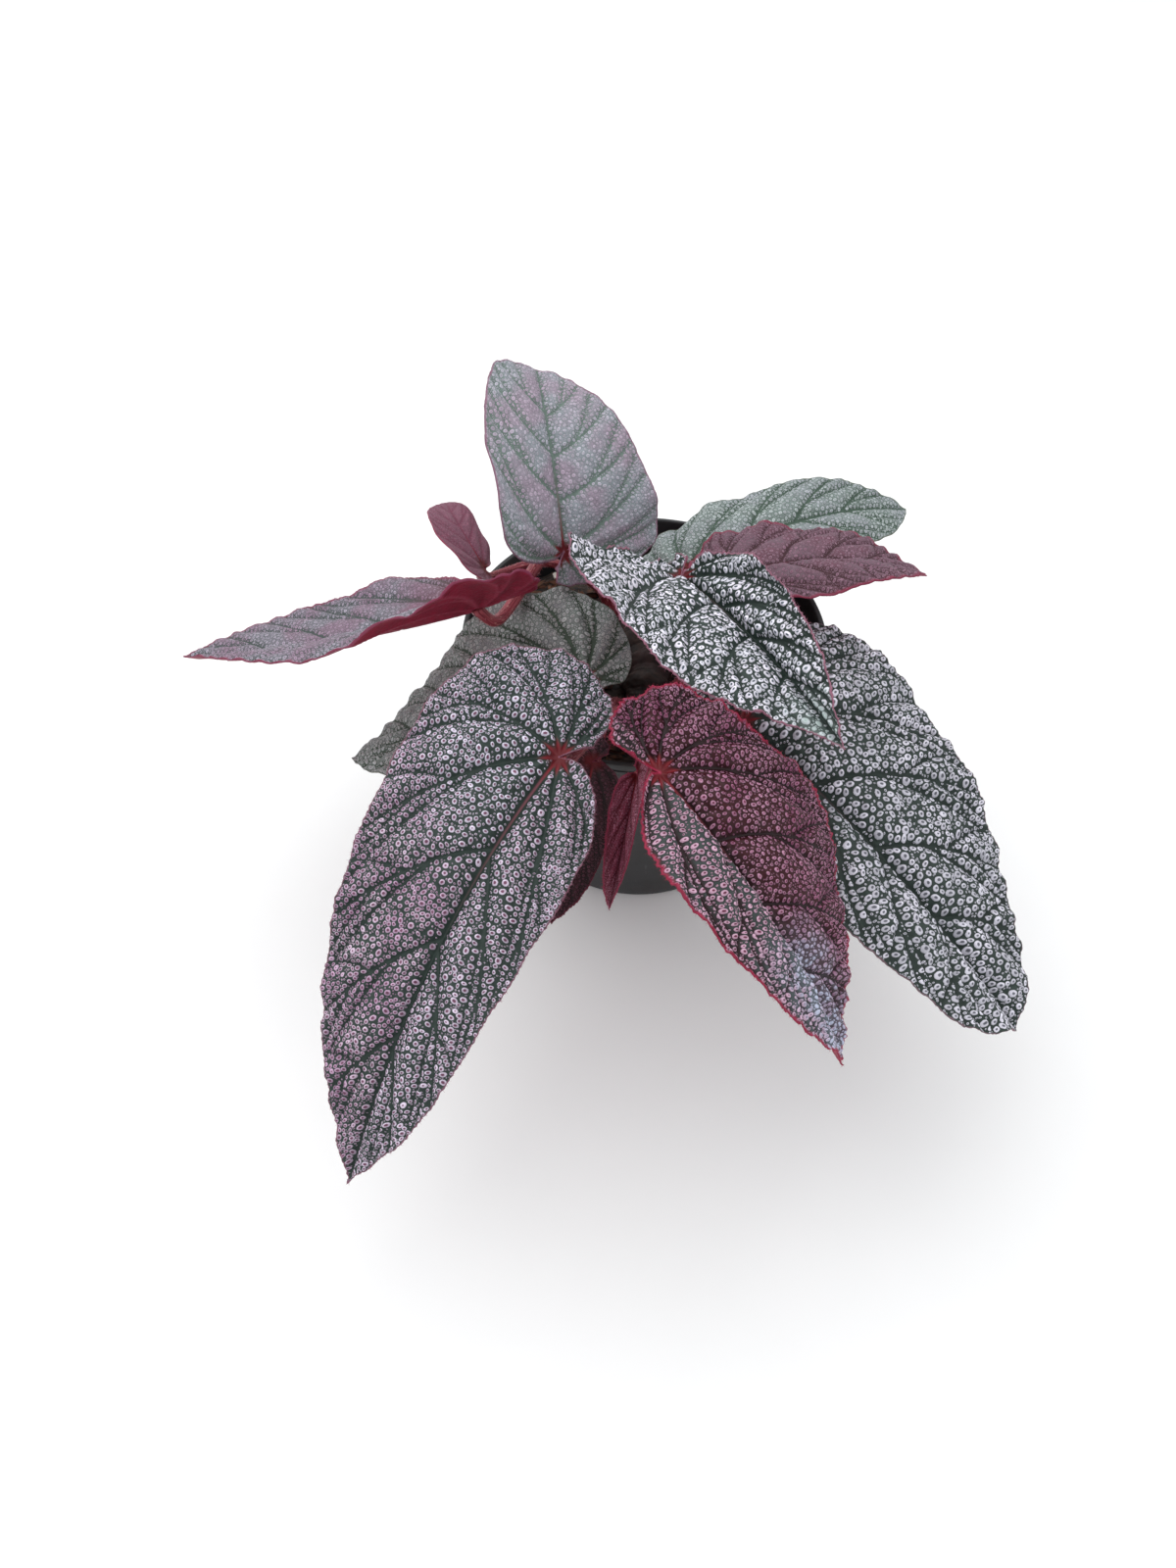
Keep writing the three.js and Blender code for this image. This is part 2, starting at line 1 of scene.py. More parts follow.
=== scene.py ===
# A potted rex begonia: twelve oblique, speckled leaves on red stalks in a black nursery pot.
# Sizes are in millimetres up to the point where a mesh is made, which is in metres.
import math
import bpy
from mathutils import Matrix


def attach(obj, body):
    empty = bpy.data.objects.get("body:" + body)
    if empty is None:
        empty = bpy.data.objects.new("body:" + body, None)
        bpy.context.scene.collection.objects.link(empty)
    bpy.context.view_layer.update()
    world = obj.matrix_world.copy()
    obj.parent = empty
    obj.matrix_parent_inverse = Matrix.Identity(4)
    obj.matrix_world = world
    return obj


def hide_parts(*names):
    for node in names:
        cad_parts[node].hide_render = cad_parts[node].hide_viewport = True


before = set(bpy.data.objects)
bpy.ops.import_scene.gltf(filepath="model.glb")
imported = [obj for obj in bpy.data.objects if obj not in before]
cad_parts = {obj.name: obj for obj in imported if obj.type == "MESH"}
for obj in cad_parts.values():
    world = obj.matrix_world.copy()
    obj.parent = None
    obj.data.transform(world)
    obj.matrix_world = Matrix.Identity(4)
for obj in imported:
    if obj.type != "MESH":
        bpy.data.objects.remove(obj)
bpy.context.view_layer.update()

from types import SimpleNamespace

import bmesh
import bpy
import numpy as np
from mathutils import Matrix, Vector, noise
from mathutils.geometry import delaunay_2d_cdt
from mathutils.kdtree import KDTree

MM = 0.001
SEED = 1518
DEGREE = math.pi / 180

# ---- sizes that the plant's solids have too ------------------------------------------------

GAP = 0.35  # clearance between pieces that touch on the real plant
POT_HEIGHT = 92
POT_RIM_RADIUS = 60  # outside of the rolled rim
POT_LIP = 2.6  # how far the rim stands out from the wall
POT_BAND = 11  # height of the rim band
POT_BAND_TAPER = 0.9  # how much narrower the band is at its foot
POT_RIM_ROUND = 0.8
POT_FOOT_RADIUS = 43
POT_WALL = 1.4
POT_FLOOR = 2
DRAIN_COUNT = 8
DRAIN_RADIUS = 4.5
DRAIN_CIRCLE = 27

SOIL_TOP = 80
SOIL_EDGE = 2  # how much lower the soil meets the wall
# Crossing waves of the soil's surface: radians per mm along x and along y, phase, height.
SOIL_WAVES = [(0.21, 0.17, 0.6, 0.75), (0.43, -0.31, 1.3, 0.45), (0.23, 0.37, 1.6, 0.4)]

RHIZOME_LENGTH = 58
RHIZOME_RADIUS = 7.5
RHIZOME_END = 0.4  # radius of its blunt ends, as a share of the full one
RHIZOME_SWELL = 0.9  # swelling at each old leaf scar
RHIZOME_SCARS = 6

PETIOLE_BASE_RADIUS = 2.9
PETIOLE_TOP_RADIUS = 1.7
PETIOLE_TAPER = 0.6  # under 1, a stalk thins most near its foot
SMALL_PETIOLE = 0.75  # how much thinner a small leaf's stalk is
PETIOLE_HOOK = 9  # length over which a stalk turns up into its blade
PETIOLE_DEPTH = 11  # how deep the foot stands in the soil
PETIOLE_COLLAR = 1  # height above the soil up to which a stalk stands upright

BLADE_THICKNESS = 0.8
VEIN_GROOVE = 5  # width over which the blade rises from a main vein to its full height
VEIN_BOW = 0.09  # how far a side vein bows away from the tip, as a share of its length
TOOTH = 0.9  # depth of the scallops along the margin
SMALL_TOOTH = 0.5  # how much shallower they are on a small leaf
LOBE_REACH = 0.35  # the midrib's frame runs on behind the stalk by this share of the length
BLUNT_REACH = 0.13  # share of the length, back from the tip, that a blunt tip is widened over
CLASP_REACH = 0.5  # share of the length, out from the stalk, over which a clasped base opens
CREASE = 3  # width of the midrib's valley, over which a half turns to its fold
WAVE_RATE = 9  # waves along the margin for each radian round the stalk
WAVE_PHASE = 0.07  # phase of those waves, for each mm of the blade's length
WAVE_RISE = 4  # how fast they grow with each radian away from the midrib
MIDRIB_STEPS = 135

# Outline of a blade, from the tip round each half to the notch at the stalk. The first number is a
# share of the blade's length along the midrib, the second a share of that half's width.
BROAD_OUTLINE = [
    (1, 0), (0.92, 0.13), (0.83, 0.31), (0.72, 0.52), (0.58, 0.7), (0.42, 0.83), (0.25, 0.93),
    (0.08, 1), (-0.06, 0.96), (-0.16, 0.74), (-0.21, 0.42), (-0.21, 0.1), (-0.155, -0.14),
    (-0.06, -0.16),
]
NARROW_OUTLINE = [
    (1, 0), (0.93, 0.28), (0.84, 0.58), (0.72, 0.77), (0.58, 0.87), (0.42, 0.94), (0.25, 1),
    (0.1, 0.86), (0.02, 0.52), (-0.01, 0.12),
]
# Places on it, counted in its points: the scallops' tips, and those that a main vein ends in.
BROAD_RAYS = [0, 0.9, 1.8, 2.7, 3.6, 4.5, 5.4, 6.3, 7.2, 8.05, 8.9, 9.75, 10.6, 11.4, 12.2, 13]
BROAD_VEINS = [5.4, 7.2, 8.9, 10.6, 12.2]
NARROW_RAYS = [0, 0.9, 1.8, 2.7, 3.65, 4.6, 5.6, 6.6, 7.6, 8.6]
NARROW_VEINS = [4.6, 6.6]

# One row for each leaf, with the same words and numbers as its solid.
LEAVES = [
    dict(
        name="front_left", junction=(-26, -86, 126), side=-1, length=122,
        heading=237, pitch=-5, roll=-12, bend=-47, sickle=7, twist=21,
        broad=36, narrow=22, fold=(12, 3), curl=(11, 17), belly=(0, 0), lobe=1,
        puff=1.8, wave=1.6, foot=(-3, -34), via=(-11, -52, 106),
    ),
    dict(
        name="front_crimson", junction=(-1, -99, 135), side=1, length=89,
        heading=309, pitch=-10, roll=-4, bend=-50, sickle=3, twist=-32,
        broad=28, narrow=15, fold=(12, 18), curl=(19, 18), belly=(0.55, 0.6), lobe=1.1,
        puff=1.5, wave=1.4, foot=(10, -27), via=(7, -52, 108),
    ),
    dict(
        name="front_right", junction=(27, -52, 103), side=1, length=116,
        heading=309, pitch=-1, roll=3, bend=-36, sickle=5, twist=-10,
        broad=49, narrow=29, fold=(12, 10), curl=(23, 18), belly=(0, 0), lobe=1, blunt=0.8,
        puff=2, wave=1.8, foot=(11, -16), via=(17, -29, 92),
    ),
    dict(
        name="centre_young", junction=(9.4, -13.8, 125.2), side=-1, length=85.7,
        heading=296, pitch=19, roll=10.3, bend=-27.7, sickle=0.7, twist=39.4,
        broad=40.7, narrow=14.6, fold=(33.5, 23.3), curl=(-12, -2), belly=(0, 0.27), lobe=0.69,
        puff=2, wave=1.6, foot=(8, -5), via=(9, -7, 100),
    ),
    dict(
        name="back_upright", junction=(-26, -6, 129), side=-1, length=61,
        heading=102, pitch=72, roll=21, bend=-73, sickle=-3, twist=-17,
        broad=33, narrow=28, fold=(10, 25), curl=(11, -3), belly=(0, 0), lobe=0.9, blunt=0.5,
        puff=1, wave=0.8, foot=(-3, 33), via=(-11, 27, 110),
    ),
    dict(
        name="back_right", junction=(16, 22, 99), side=1, length=85,
        heading=20, pitch=24, roll=-2, bend=-45, sickle=2, twist=21,
        broad=24, narrow=20, fold=(6, 7), curl=(29, 16), belly=(0, 0), lobe=1, blunt=0.3,
        puff=1.2, wave=1, foot=(10, 17), via=(12, 21, 88),
    ),
    dict(
        name="right_mauve", junction=(26, -2, 116), side=1, length=63,
        heading=-1, pitch=26, roll=-6, bend=-50, sickle=0, twist=-14,
        broad=28, narrow=22, fold=(2, 6), curl=(12, 18), belly=(0, 0), lobe=1,
        puff=1.2, wave=1, foot=(9, 6), via=(14, 3, 96),
    ),
    dict(
        name="left", junction=(-51.5, -23.4, 122), side=1, length=95,
        heading=188, pitch=-13.5, roll=24, bend=2.5, sickle=-16, twist=-12.5,
        broad=31, narrow=20, fold=(12.5, -5.5), curl=(9, -18), belly=(-0.06, 0.35), lobe=1.02,
        clasp=20,
        puff=1, wave=1, foot=(-9.5, 20), via=(-26, 22, 111),
    ),
    dict(
        name="lower_left", junction=(-20.5, -34, 102.5), side=-1, length=82,
        heading=198.5, pitch=-9, roll=-15, bend=-27, sickle=-31, twist=31.5,
        broad=32, narrow=19.5, fold=(-4, -6.5), curl=(-13, 12), belly=(0.37, 0), lobe=1.02,
        puff=1.4, wave=1, foot=(-10, -8), via=(-16, -17, 92),
    ),
    dict(
        name="left_young", junction=(-52, 7, 112), side=1, length=36, small=True,
        heading=126.5, pitch=35, roll=31, bend=-62, sickle=-22.5, twist=-40,
        broad=13.5, narrow=9, fold=(21, -1), curl=(9, 27.5), belly=(0.09, -0.06), lobe=1,
        puff=0.5, wave=0.4, foot=(-12, 29), via=(-31, 29, 96),
    ),
    dict(
        name="folded_new", junction=(-5, -80, 112), side=1, length=38, small=True,
        heading=258, pitch=-24, roll=12, bend=-24, sickle=-6, twist=-12,
        broad=10, narrow=7, fold=(58, 55), curl=(0, 11), belly=(0, 0), lobe=1,
        puff=0.3, wave=0.3, foot=(4.5, -34), via=(2.5, -54, 97),
    ),
    dict(
        name="inner_dark", junction=(-17, -65, 100), side=-1, length=52, small=True,
        heading=261, pitch=-3, roll=-4, bend=-14, sickle=-8, twist=5,
        broad=25, narrow=10, fold=(8, 6), curl=(15, 20), belly=(0, 0), lobe=1,
        puff=0.8, wave=0.6, foot=(-9, -24), via=(-13, -44, 97),
    ),
]

# How each leaf's skin looks. A face's points stand grid apart.
# Margin: scallop is the depth of its bays beside the solid's, and teeth the height of the fine teeth.
# Its hairs are as long as hairs, with hair_crowd of them for each point of the outline, in hair_red.
# rim is the width of the coloured edge and margin its colour.
# Veins: forks is how many branches of a side vein show, and quilt how far the panels between them swell.
# Spots: their radius near the stalk and at the margin. crowd is how close they stand, 1 being edge to
# edge, dots the share of the gaps that small dots fill, dome a spot's height over its radius, and lane
# the width without spots beside a vein, at the stalk.
# Ground: the colour of vein turns to that of panel over the width soft, and to panel2 in large patches.
# A spot is a ring, ring2 in the same patches, round an eye whose radius is eye_size. base_ring colours
# the rings near the stalk, and narrow_ring and narrow_panel colour the blade's narrow half.
# midrib is the red of the midrib near the stalk, under that of the underside, and flush says how far
# the red of a young base reaches, and its colour. silver is the colour of a painted reflection, a
# bluish glare painted towards the tip, and tip says where it starts and is full, its middle line and
# its half width.
# gloss is the roughness of the skin, and shine how strongly it mirrors the room. slot is the part that
# its material belongs to.
LOOKS = {
    "front_left": dict(
        slot="leaf_silver", grid=0.33, spots=(0.98, 0.64), crowd=1.0, dots=0.18, dome=0.36, lane=0.28,
        quilt=1.5, scallop=1, teeth=0.35, hairs=0.7, hair_crowd=0.6, hair_red="#9c6476", rim=0.5,
        vein="#27352f", panel="#2c3934", ring="#d4bfd1", ring2="#c5a2be", base_ring="#dcd6e6",
        narrow_ring="#d8cadc", eye="#6c3f56", eye_size=0.46,
        margin="#8a5a6c", midrib="#74404a", under="#6a2134", gloss=0.42,
    ),
    "front_crimson": dict(
        slot="leaf_crimson", grid=0.26, spots=(0.76, 0.58), crowd=1.05, dots=0.12, dome=0.5, lane=0.24,
        quilt=1.4, scallop=1, teeth=0.75, hairs=1.0, hair_crowd=0.9, hair_red="#a22c48", rim=1.0,
        vein="#1f080b", panel="#34060f", ring="#b8869f", ring2="#975e7a", eye="#5c1b36", eye_size=0.4,
        narrow_panel="#333c3a", narrow_ring="#cba3b8", margin="#961f40", midrib="#6c2430",
        # silver and tip: a painted reflection, a bluish glare painted towards the tip.
        under="#7c1b34", gloss=0.26, shine=0.3, silver="#bcc6dc", tip=(43, 61, -3, 18),
    ),
    "front_right": dict(
        slot="leaf_silver", grid=0.36, spots=(1.3, 0.98), crowd=0.95, dots=0.2, dome=0.36, lane=0.36,
        quilt=1.6, scallop=1, teeth=0.3, hairs=0.5, hair_crowd=0.5, hair_red="#94707c", rim=0.35,
        vein="#222e29", panel="#2c3833", ring="#dedbe6", ring2="#c8c7d0", eye="#5e5f67", eye_size=0.37,
        margin="#7c646c", midrib="#52323a", under="#6a2134", gloss=0.44,
    ),
    "centre_young": dict(
        slot="leaf_silver", grid=0.3, spots=(1.24, 1.0), crowd=0.95, dots=0.2, dome=0.32, lane=0.34,
        quilt=1.1, scallop=1, teeth=0.6, hairs=1.0, hair_crowd=0.6, hair_red="#b8728a", rim=0.6,
        vein="#202e28", panel="#2a3833", ring="#efeaf5", ring2="#e4e3ec", eye="#46505a", eye_size=0.36,
        margin="#a06a7e", midrib="#4c3c3c", under="#7a2a3e", gloss=0.4,
        # silver and tip: the same painted reflection, a pale glare painted towards the tip.
        silver="#b2c2be", tip=(58, 78, 0, 15),
    ),
    "back_upright": dict(
        slot="leaf_silver", grid=0.5, spots=(0.7, 0.55), crowd=1.0, dots=0.4, dome=0.1, lane=0.25,
        quilt=0.6, scallop=0.25, teeth=0.1, hairs=0.6, hair_crowd=0.5, hair_red="#9c7484", rim=0.8, forks=1,
        soft=2.3, vein="#66776e", panel="#8b9097", panel2="#9a8a99", ring="#b6b4bf", ring2="#b6a1b4",
        eye="#979299", eye_size=0.3, margin="#8e6478", midrib="#7a4f55", under="#7a3248", gloss=0.5,
    ),
    "back_right": dict(
        slot="leaf_silver", grid=0.5, spots=(0.75, 0.6), crowd=1.0, dots=0.4, dome=0.14, lane=0.3,
        quilt=0.9, scallop=0.3, teeth=0.1, hairs=0.5, hair_crowd=0.4, hair_red="#8c8488", rim=0.6, forks=1,
        soft=2.6, vein="#44574a", panel="#75827d", panel2="#86908f", ring="#b4bcbb", ring2="#b0b2b9",
        eye="#848d8b", eye_size=0.3, margin="#69705f", midrib="#6c5c56", under="#6d3446", gloss=0.5,
    ),
    "right_mauve": dict(
        slot="leaf_mauve", grid=0.45, spots=(0.62, 0.48), crowd=1.02, dots=0.5, dome=0.14, lane=0.3,
        quilt=1.0, scallop=0.4, teeth=0.15, hairs=0.6, hair_crowd=0.6, hair_red="#94405a", rim=1.6, forks=2,
        soft=1.8, vein="#402129", panel="#6c4554", panel2="#735d68", ring="#8e6e7d", ring2="#876475",
        eye="#71485a", eye_size=0.4, margin="#862c46", midrib="#7c3346", under="#8a2f48", gloss=0.5,
    ),
    "left": dict(
        slot="leaf_silver", grid=0.5, spots=(0.75, 0.55), crowd=1.0, dots=0.4, dome=0.14, lane=0.25,
        quilt=0.8, scallop=0.5, teeth=0.3, hairs=0.7, hair_crowd=0.7, hair_red="#9c3c58", rim=1.0, forks=1,
        soft=1.9, vein="#454e4b", panel="#716f77", panel2="#836d7c", ring="#a59fac", ring2="#a0859a",
        eye="#7f6a79", eye_size=0.3, margin="#8c3c56", midrib="#80303f", under="#78122c", gloss=0.45,
        flush=(34, "#7c3a50"),
    ),
    "lower_left": dict(
        slot="leaf_silver", grid=0.48, spots=(0.95, 0.65), crowd=1.0, dots=0.5, dome=0.16, lane=0.4,
        quilt=1.1, scallop=0.4, teeth=0.15, hairs=0.5, hair_crowd=0.4, hair_red="#7c6a70", rim=0.3, forks=1,
        soft=2, vein="#3f4c3f", panel="#78807b", panel2="#868488", ring="#b3b4b4", ring2="#a6a4a2",
        eye="#817d80", eye_size=0.3, margin="#6f6f66", midrib="#6c4a4a", under="#6a2436", gloss=0.5,
    ),
    "left_young": dict(
        slot="leaf_mauve", grid=0.4, spots=(0.45, 0.32), crowd=1.1, dots=0.3, dome=0.06, lane=0.2,
        quilt=0.2, scallop=0.3, teeth=0.08, hairs=0.5, hair_crowd=0.5, hair_red="#a8405c", rim=0.4, forks=1,
        vein="#743a4e", panel="#7d4a5e", panel2="#8a5c6c", ring="#8b5e70", ring2="#87566a",
        eye="#7c4157", eye_size=0.3, margin="#9c3c56", midrib="#8c2c42", under="#a02442", gloss=0.5,
    ),
    "folded_new": dict(
        slot="leaf_crimson", grid=0.3, spots=(0.4, 0.3), crowd=1.0, dots=0.6, dome=0.2, lane=0.2,
        quilt=0.3, scallop=0.6, teeth=0.3, hairs=0.9, hair_crowd=0.9, hair_red="#a2405a", rim=0.6,
        vein="#5c1a2a", panel="#86344a", ring="#c68c9e", ring2="#a8667c", eye="#7a2a4a", eye_size=0.4,
        margin="#942c4a", midrib="#7c2438", under="#8e3048", gloss=0.5,
    ),
    "inner_dark": dict(
        slot="leaf_crimson", grid=0.4, spots=(0.6, 0.45), crowd=1.05, dots=0.4, dome=0.16, lane=0.3,
        quilt=0.5, scallop=0.8, teeth=0.4, hairs=0.7, hair_crowd=0.6, hair_red="#84344a", rim=0.6,
        vein="#261719", panel="#3e2027", ring="#6f4654", ring2="#5f3846", eye="#4a2430", eye_size=0.4,
        margin="#6c2438", midrib="#6a2a36", under="#6b1a2c", gloss=0.45,
    ),
}

# ---- a blade's flat plan -------------------------------------------------------------------
# u runs along the midrib from the stalk to the tip, v across it, positive on the broad half.


def spline(points, places):
    """Points on the smooth curve through an outline, at places counted in its points."""
    knots = np.array(points, float)
    last = len(knots) - 1
    start = np.clip(np.floor(places).astype(int), 0, last - 1)
    part = (places - start)[:, None]
    here, there = knots[start], knots[start + 1]
    leaving = (there - knots[np.maximum(start - 1, 0)]) / 2
    arriving = (knots[np.minimum(start + 2, last)] - here) / 2
    cubic = 2 * here - 2 * there + leaving + arriving
    square = 3 * there - 3 * here - 2 * leaving - arriving
    return cubic * part ** 3 + square * part ** 2 + leaving * part + here


def on_margin(leaf, half, places):
    """Points of the blade's plain outline, on its broad half (0) or its narrow one (1)."""
    points = spline(NARROW_OUTLINE if half else BROAD_OUTLINE, np.atleast_1d(places))
    belly = 1 + leaf["belly"][half] * np.sin(math.pi * np.clip(points[:, 0], 0, 1))
    belly += leaf.get("blunt", 0) * np.exp(-((1 - points[:, 0]) / BLUNT_REACH) ** 2)
    width = -leaf["narrow"] if half else leaf["broad"]
    reach = leaf["length"] * np.where(points[:, 0] < 0, leaf["lobe"], 1)
    return np.stack([points[:, 0] * reach, points[:, 1] * belly * width], 1)


def along_ray(end, shares):
    """Points from the stalk to a place on the margin, on the bowed line that a side vein follows."""
    sine = end[1] / math.hypot(*end)
    bow = 4 * VEIN_BOW * abs(sine) * shares * (1 - shares) * (-1 if end[1] < 0 else 1)
    return np.stack([end[0] * shares - end[1] * bow, end[1] * shares + end[0] * bow], 1)


def resampled(points, step):
    """The same line with its points an even step apart, and how far along each one lies."""
    lengths = np.concatenate([[0], np.cumsum(np.hypot(*np.diff(points, axis=0).T))])
    count = max(2, int(round(lengths[-1] / step)) + 1)
    at = np.linspace(0, lengths[-1], count)
    return np.stack([np.interp(at, lengths, points[:, 0]), np.interp(at, lengths, points[:, 1])], 1), at


TOOTH_PITCH = 1.9  # from one fine tooth to the next
SMALL_TOOTH_PITCH = 1.1
TOOTH_HEIGHTS = (0.35, 1)  # shares of the full height
TOOTH_BACK = 0.35  # where the valley after a tooth lies, as a share of the way to the next
TOOTH_FADE = 6  # the teeth grow over this length at each end of the margin
MARGIN_STEP = 0.1


def toothed_margin(leaf, look, step, chance):
    """The scalloped and toothed margin, from the narrow half's notch round the tip to the broad half's."""
    small = leaf.get("small", False)
    narrow = np.linspace(NARROW_RAYS[-1], 0, 400)
    broad = np.linspace(0, BROAD_RAYS[-1], 700)[1:]
    points = np.vstack([on_margin(leaf, 1, narrow), on_margin(leaf, 0, broad)])
    phase = np.concatenate([
        np.interp(narrow, NARROW_RAYS, np.arange(len(NARROW_RAYS))),
        np.interp(broad, BROAD_RAYS, np.arange(len(BROAD_RAYS))),
    ])
    reach = np.hypot(points[:, 0], points[:, 1])
    depth = TOOTH * (SMALL_TOOTH if small else 1) * look["scallop"]
    scallop = depth * np.sin(math.pi * phase) ** 2
    points = points * (1 - scallop / reach)[:, None]
    line, at = resampled(points, MARGIN_STEP)
    pitch = SMALL_TOOTH_PITCH if small else TOOTH_PITCH
    teeth = int(at[-1] / pitch) + 2
    tips = (np.arange(teeth) + chance.uniform(-0.3, 0.3, teeth)) * pitch
    heights = chance.uniform(*TOOTH_HEIGHTS, teeth)
    valleys = tips[:-1] + np.diff(tips) * TOOTH_BACK
    knots = np.sort(np.concatenate([tips, valleys]))
    rise = np.interp(at, knots, np.ravel(np.stack([heights, 0 * heights], 1))[:2 * teeth - 1])
    fade = np.clip(np.minimum(at, at[-1] - at) / TOOTH_FADE, 0, 1)
    along = np.gradient(line, axis=0)
    along /= np.hypot(*along.T)[:, None]
    outward = np.stack([along[:, 1], -along[:, 0]], 1)
    return resampled(line + outward * (look["teeth"] * (rise - 0.5) * fade)[:, None], step)[0]


def blade_edge(leaf, look, step, chance):
    """The whole closed outline of a blade: its margin and the two short sides of the notch."""
    margin = toothed_margin(leaf, look, step, chance)
    sides = []
    for half, place in ((1, NARROW_RAYS[-1]), (0, BROAD_RAYS[-1])):
        side = along_ray(on_margin(leaf, half, place)[0], np.linspace(0, 1, 40))
        sides.append(resampled(side, step)[0])
    return np.vstack([sides[0][:-1], margin, sides[1][::-1][1:-1]])


def turned(flat):
    """The angle of each flat point round the stalk, counted on past half a turn into the broad lobe."""
    angle = np.arctan2(flat[:, 1], flat[:, 0])
    return np.where(angle < -105 * DEGREE, angle + 2 * math.pi, angle)


def share_out(leaf, flat):
    """How far out each flat point lies between the stalk, 0, and the margin, 1."""
    outline = np.vstack([
        on_margin(leaf, 1, np.linspace(NARROW_RAYS[-1], 0, 200)),
        on_margin(leaf, 0, np.linspace(0, BROAD_RAYS[-1], 300)[1:]),
    ])
    angles = np.maximum.accumulate(turned(outline))
    reach = np.interp(turned(flat), angles, np.hypot(*outline.T))
    return np.hypot(*flat.T) / reach


def tree_of(points):
    """A search tree of flat points."""
    tree = KDTree(len(points))
    for k, (x, y) in enumerate(points):
        tree.insert((x, y, 0), k)
    tree.balance()
    return tree


def nearest(tree, flat):
    """The distance from each flat point to the tree's nearest one, and which one that is."""
    found = [tree.find((x, y, 0)) for x, y in flat]
    return np.array([f[2] for f in found]), np.array([f[1] for f in found])


# ---- veins ---------------------------------------------------------------------------------

# Side veins of the midrib: where they leave it, as a share of its length, and where they end.
MIDRIB_SIDES = {0: [(0.25, 4.4), (0.46, 3.2), (0.67, 2)],
                1: [(0.27, 3.7), (0.48, 2.6), (0.7, 1.5)]}
# Where a side vein forks, and by how much its branch ends to one side of it.
FORKS = [(0.36, -0.7), (0.54, 0.65), (0.72, -0.5)]
FORK_LEAST = 4  # a branch shorter than this is left out
# Half widths of the veins where they start and end, on a leaf of WIDTH_LENGTH.
MIDRIB_WIDTHS = (0.56, 0.15)
MAIN_WIDTHS = (0.38, 0.05)
SIDE_WIDTHS = (0.26, 0.05)
FORK_WIDTHS = (0.12, 0.03)
WIDTH_LENGTH = 110
VEIN_STEP = 0.2
NET_CELL = 5.5  # width of the meshes of the fine net between the side veins
NET_SHAKE = 0.36  # how far a mesh's middle strays, as a share of that width


def vein_lines(leaf, forks):
    """The veins as rows of flat points, each with the vein's half width there and its level:
    0 for the midrib, 1 for the side veins and 2 for their branches."""
    rows = []

    def lay(line, widths, level):
        points, at = resampled(line, VEIN_STEP)
        start, end = widths
        half_width = (start + (end - start) * (at / at[-1]) ** 0.7) * leaf["length"] / WIDTH_LENGTH
        rows.append(np.column_stack([points, half_width, np.full(len(at), level)]))

    midrib = np.stack([np.linspace(0, leaf["length"] * 0.985, 60), np.zeros(60)], 1)
    lay(midrib, MIDRIB_WIDTHS, 0)
    for half, mains in ((0, BROAD_VEINS), (1, NARROW_VEINS)):
        longest = (NARROW_RAYS if half else BROAD_RAYS)[-1] - 0.2
        stems = [(np.zeros(2), place, MAIN_WIDTHS) for place in mains]
        for share, place in MIDRIB_SIDES[half]:
            stems.append((np.array([share * leaf["length"], 0]), place, SIDE_WIDTHS))
        for start, place, widths in stems:
            end = on_margin(leaf, half, place)[0]
            line = start + along_ray(end - start, np.linspace(0, 0.97, 50))
            lay(line, widths, 1)
            for share, aside in FORKS[:forks]:
                root = line[int(share * 50)]
                tip = on_margin(leaf, half, np.clip(place + aside, 0.15, longest))[0]
                if np.hypot(*(tip - root)) > FORK_LEAST:
                    lay(root + along_ray(tip - root, np.linspace(0, 0.95, 30)), FORK_WIDTHS, 2)
    return np.vstack(rows)


def net_distance(leaf, flat, chance):
    """The distance from each flat point to the fine net, which divides the blade into small panels."""
    reach = leaf["length"] * 1.3
    cells = []
    rows = int(2 * reach / NET_CELL) + 1
    for i in range(rows):
        for j in range(rows):
            place = np.array([i + 0.5 * (j % 2), j]) * NET_CELL - reach * 0.35
            shake = chance.uniform(-NET_SHAKE, NET_SHAKE, 2) * NET_CELL
            cells.append(place + shake - (0, reach * 0.65))
    tree = tree_of(cells)
    two = [tree.find_n((x, y, 0), 2) for x, y in flat]
    return np.array([(b[2] - a[2]) / 2 for a, b in two])


# ---- a blade's place on the plant ------------------------------------------------------------


def midrib_frames(leaf):
    """The midrib's frames from behind the stalk to the tip: share of the length, place, left and up."""
    share = -LOBE_REACH + (1 + LOBE_REACH) * np.arange(MIDRIB_STEPS + 1) / MIDRIB_STEPS
    ahead = np.maximum(share, 0)
    pitch = (leaf["pitch"] + leaf["bend"] * ahead) * DEGREE
    heading = (leaf["heading"] + leaf["sickle"] * ahead) * DEGREE
    roll = ((leaf["roll"] + leaf["twist"] * share) * DEGREE)[:, None]
    along = np.stack([np.cos(pitch) * np.cos(heading), np.cos(pitch) * np.sin(heading), np.sin(pitch)], 1)
    level = np.stack([-np.sin(heading), np.cos(heading), 0 * heading], 1)
    left = level * np.cos(roll) + np.cross(along, level) * np.sin(roll)
    step = (1 + LOBE_REACH) * leaf["length"] / MIDRIB_STEPS
    place = np.vstack([np.zeros(3), np.cumsum((along[1:] + along[:-1]) * step / 2, axis=0)])
    stalk = round(MIDRIB_STEPS * LOBE_REACH / (1 + LOBE_REACH))
    place += np.array(leaf["junction"]) - place[stalk]
    return share, place, left, np.cross(along, left)


def blend_frames(leaf, u):
    """The midrib's place, left and up at each distance along it."""
    share, *rows = midrib_frames(leaf)
    found = []
    for row in rows:
        found.append(np.stack([np.interp(u / leaf["length"], share, row[:, k]) for k in range(3)], 1))
    place, left, up = found
    return place, left / np.linalg.norm(left, axis=1)[:, None], up / np.linalg.norm(up, axis=1)[:, None]


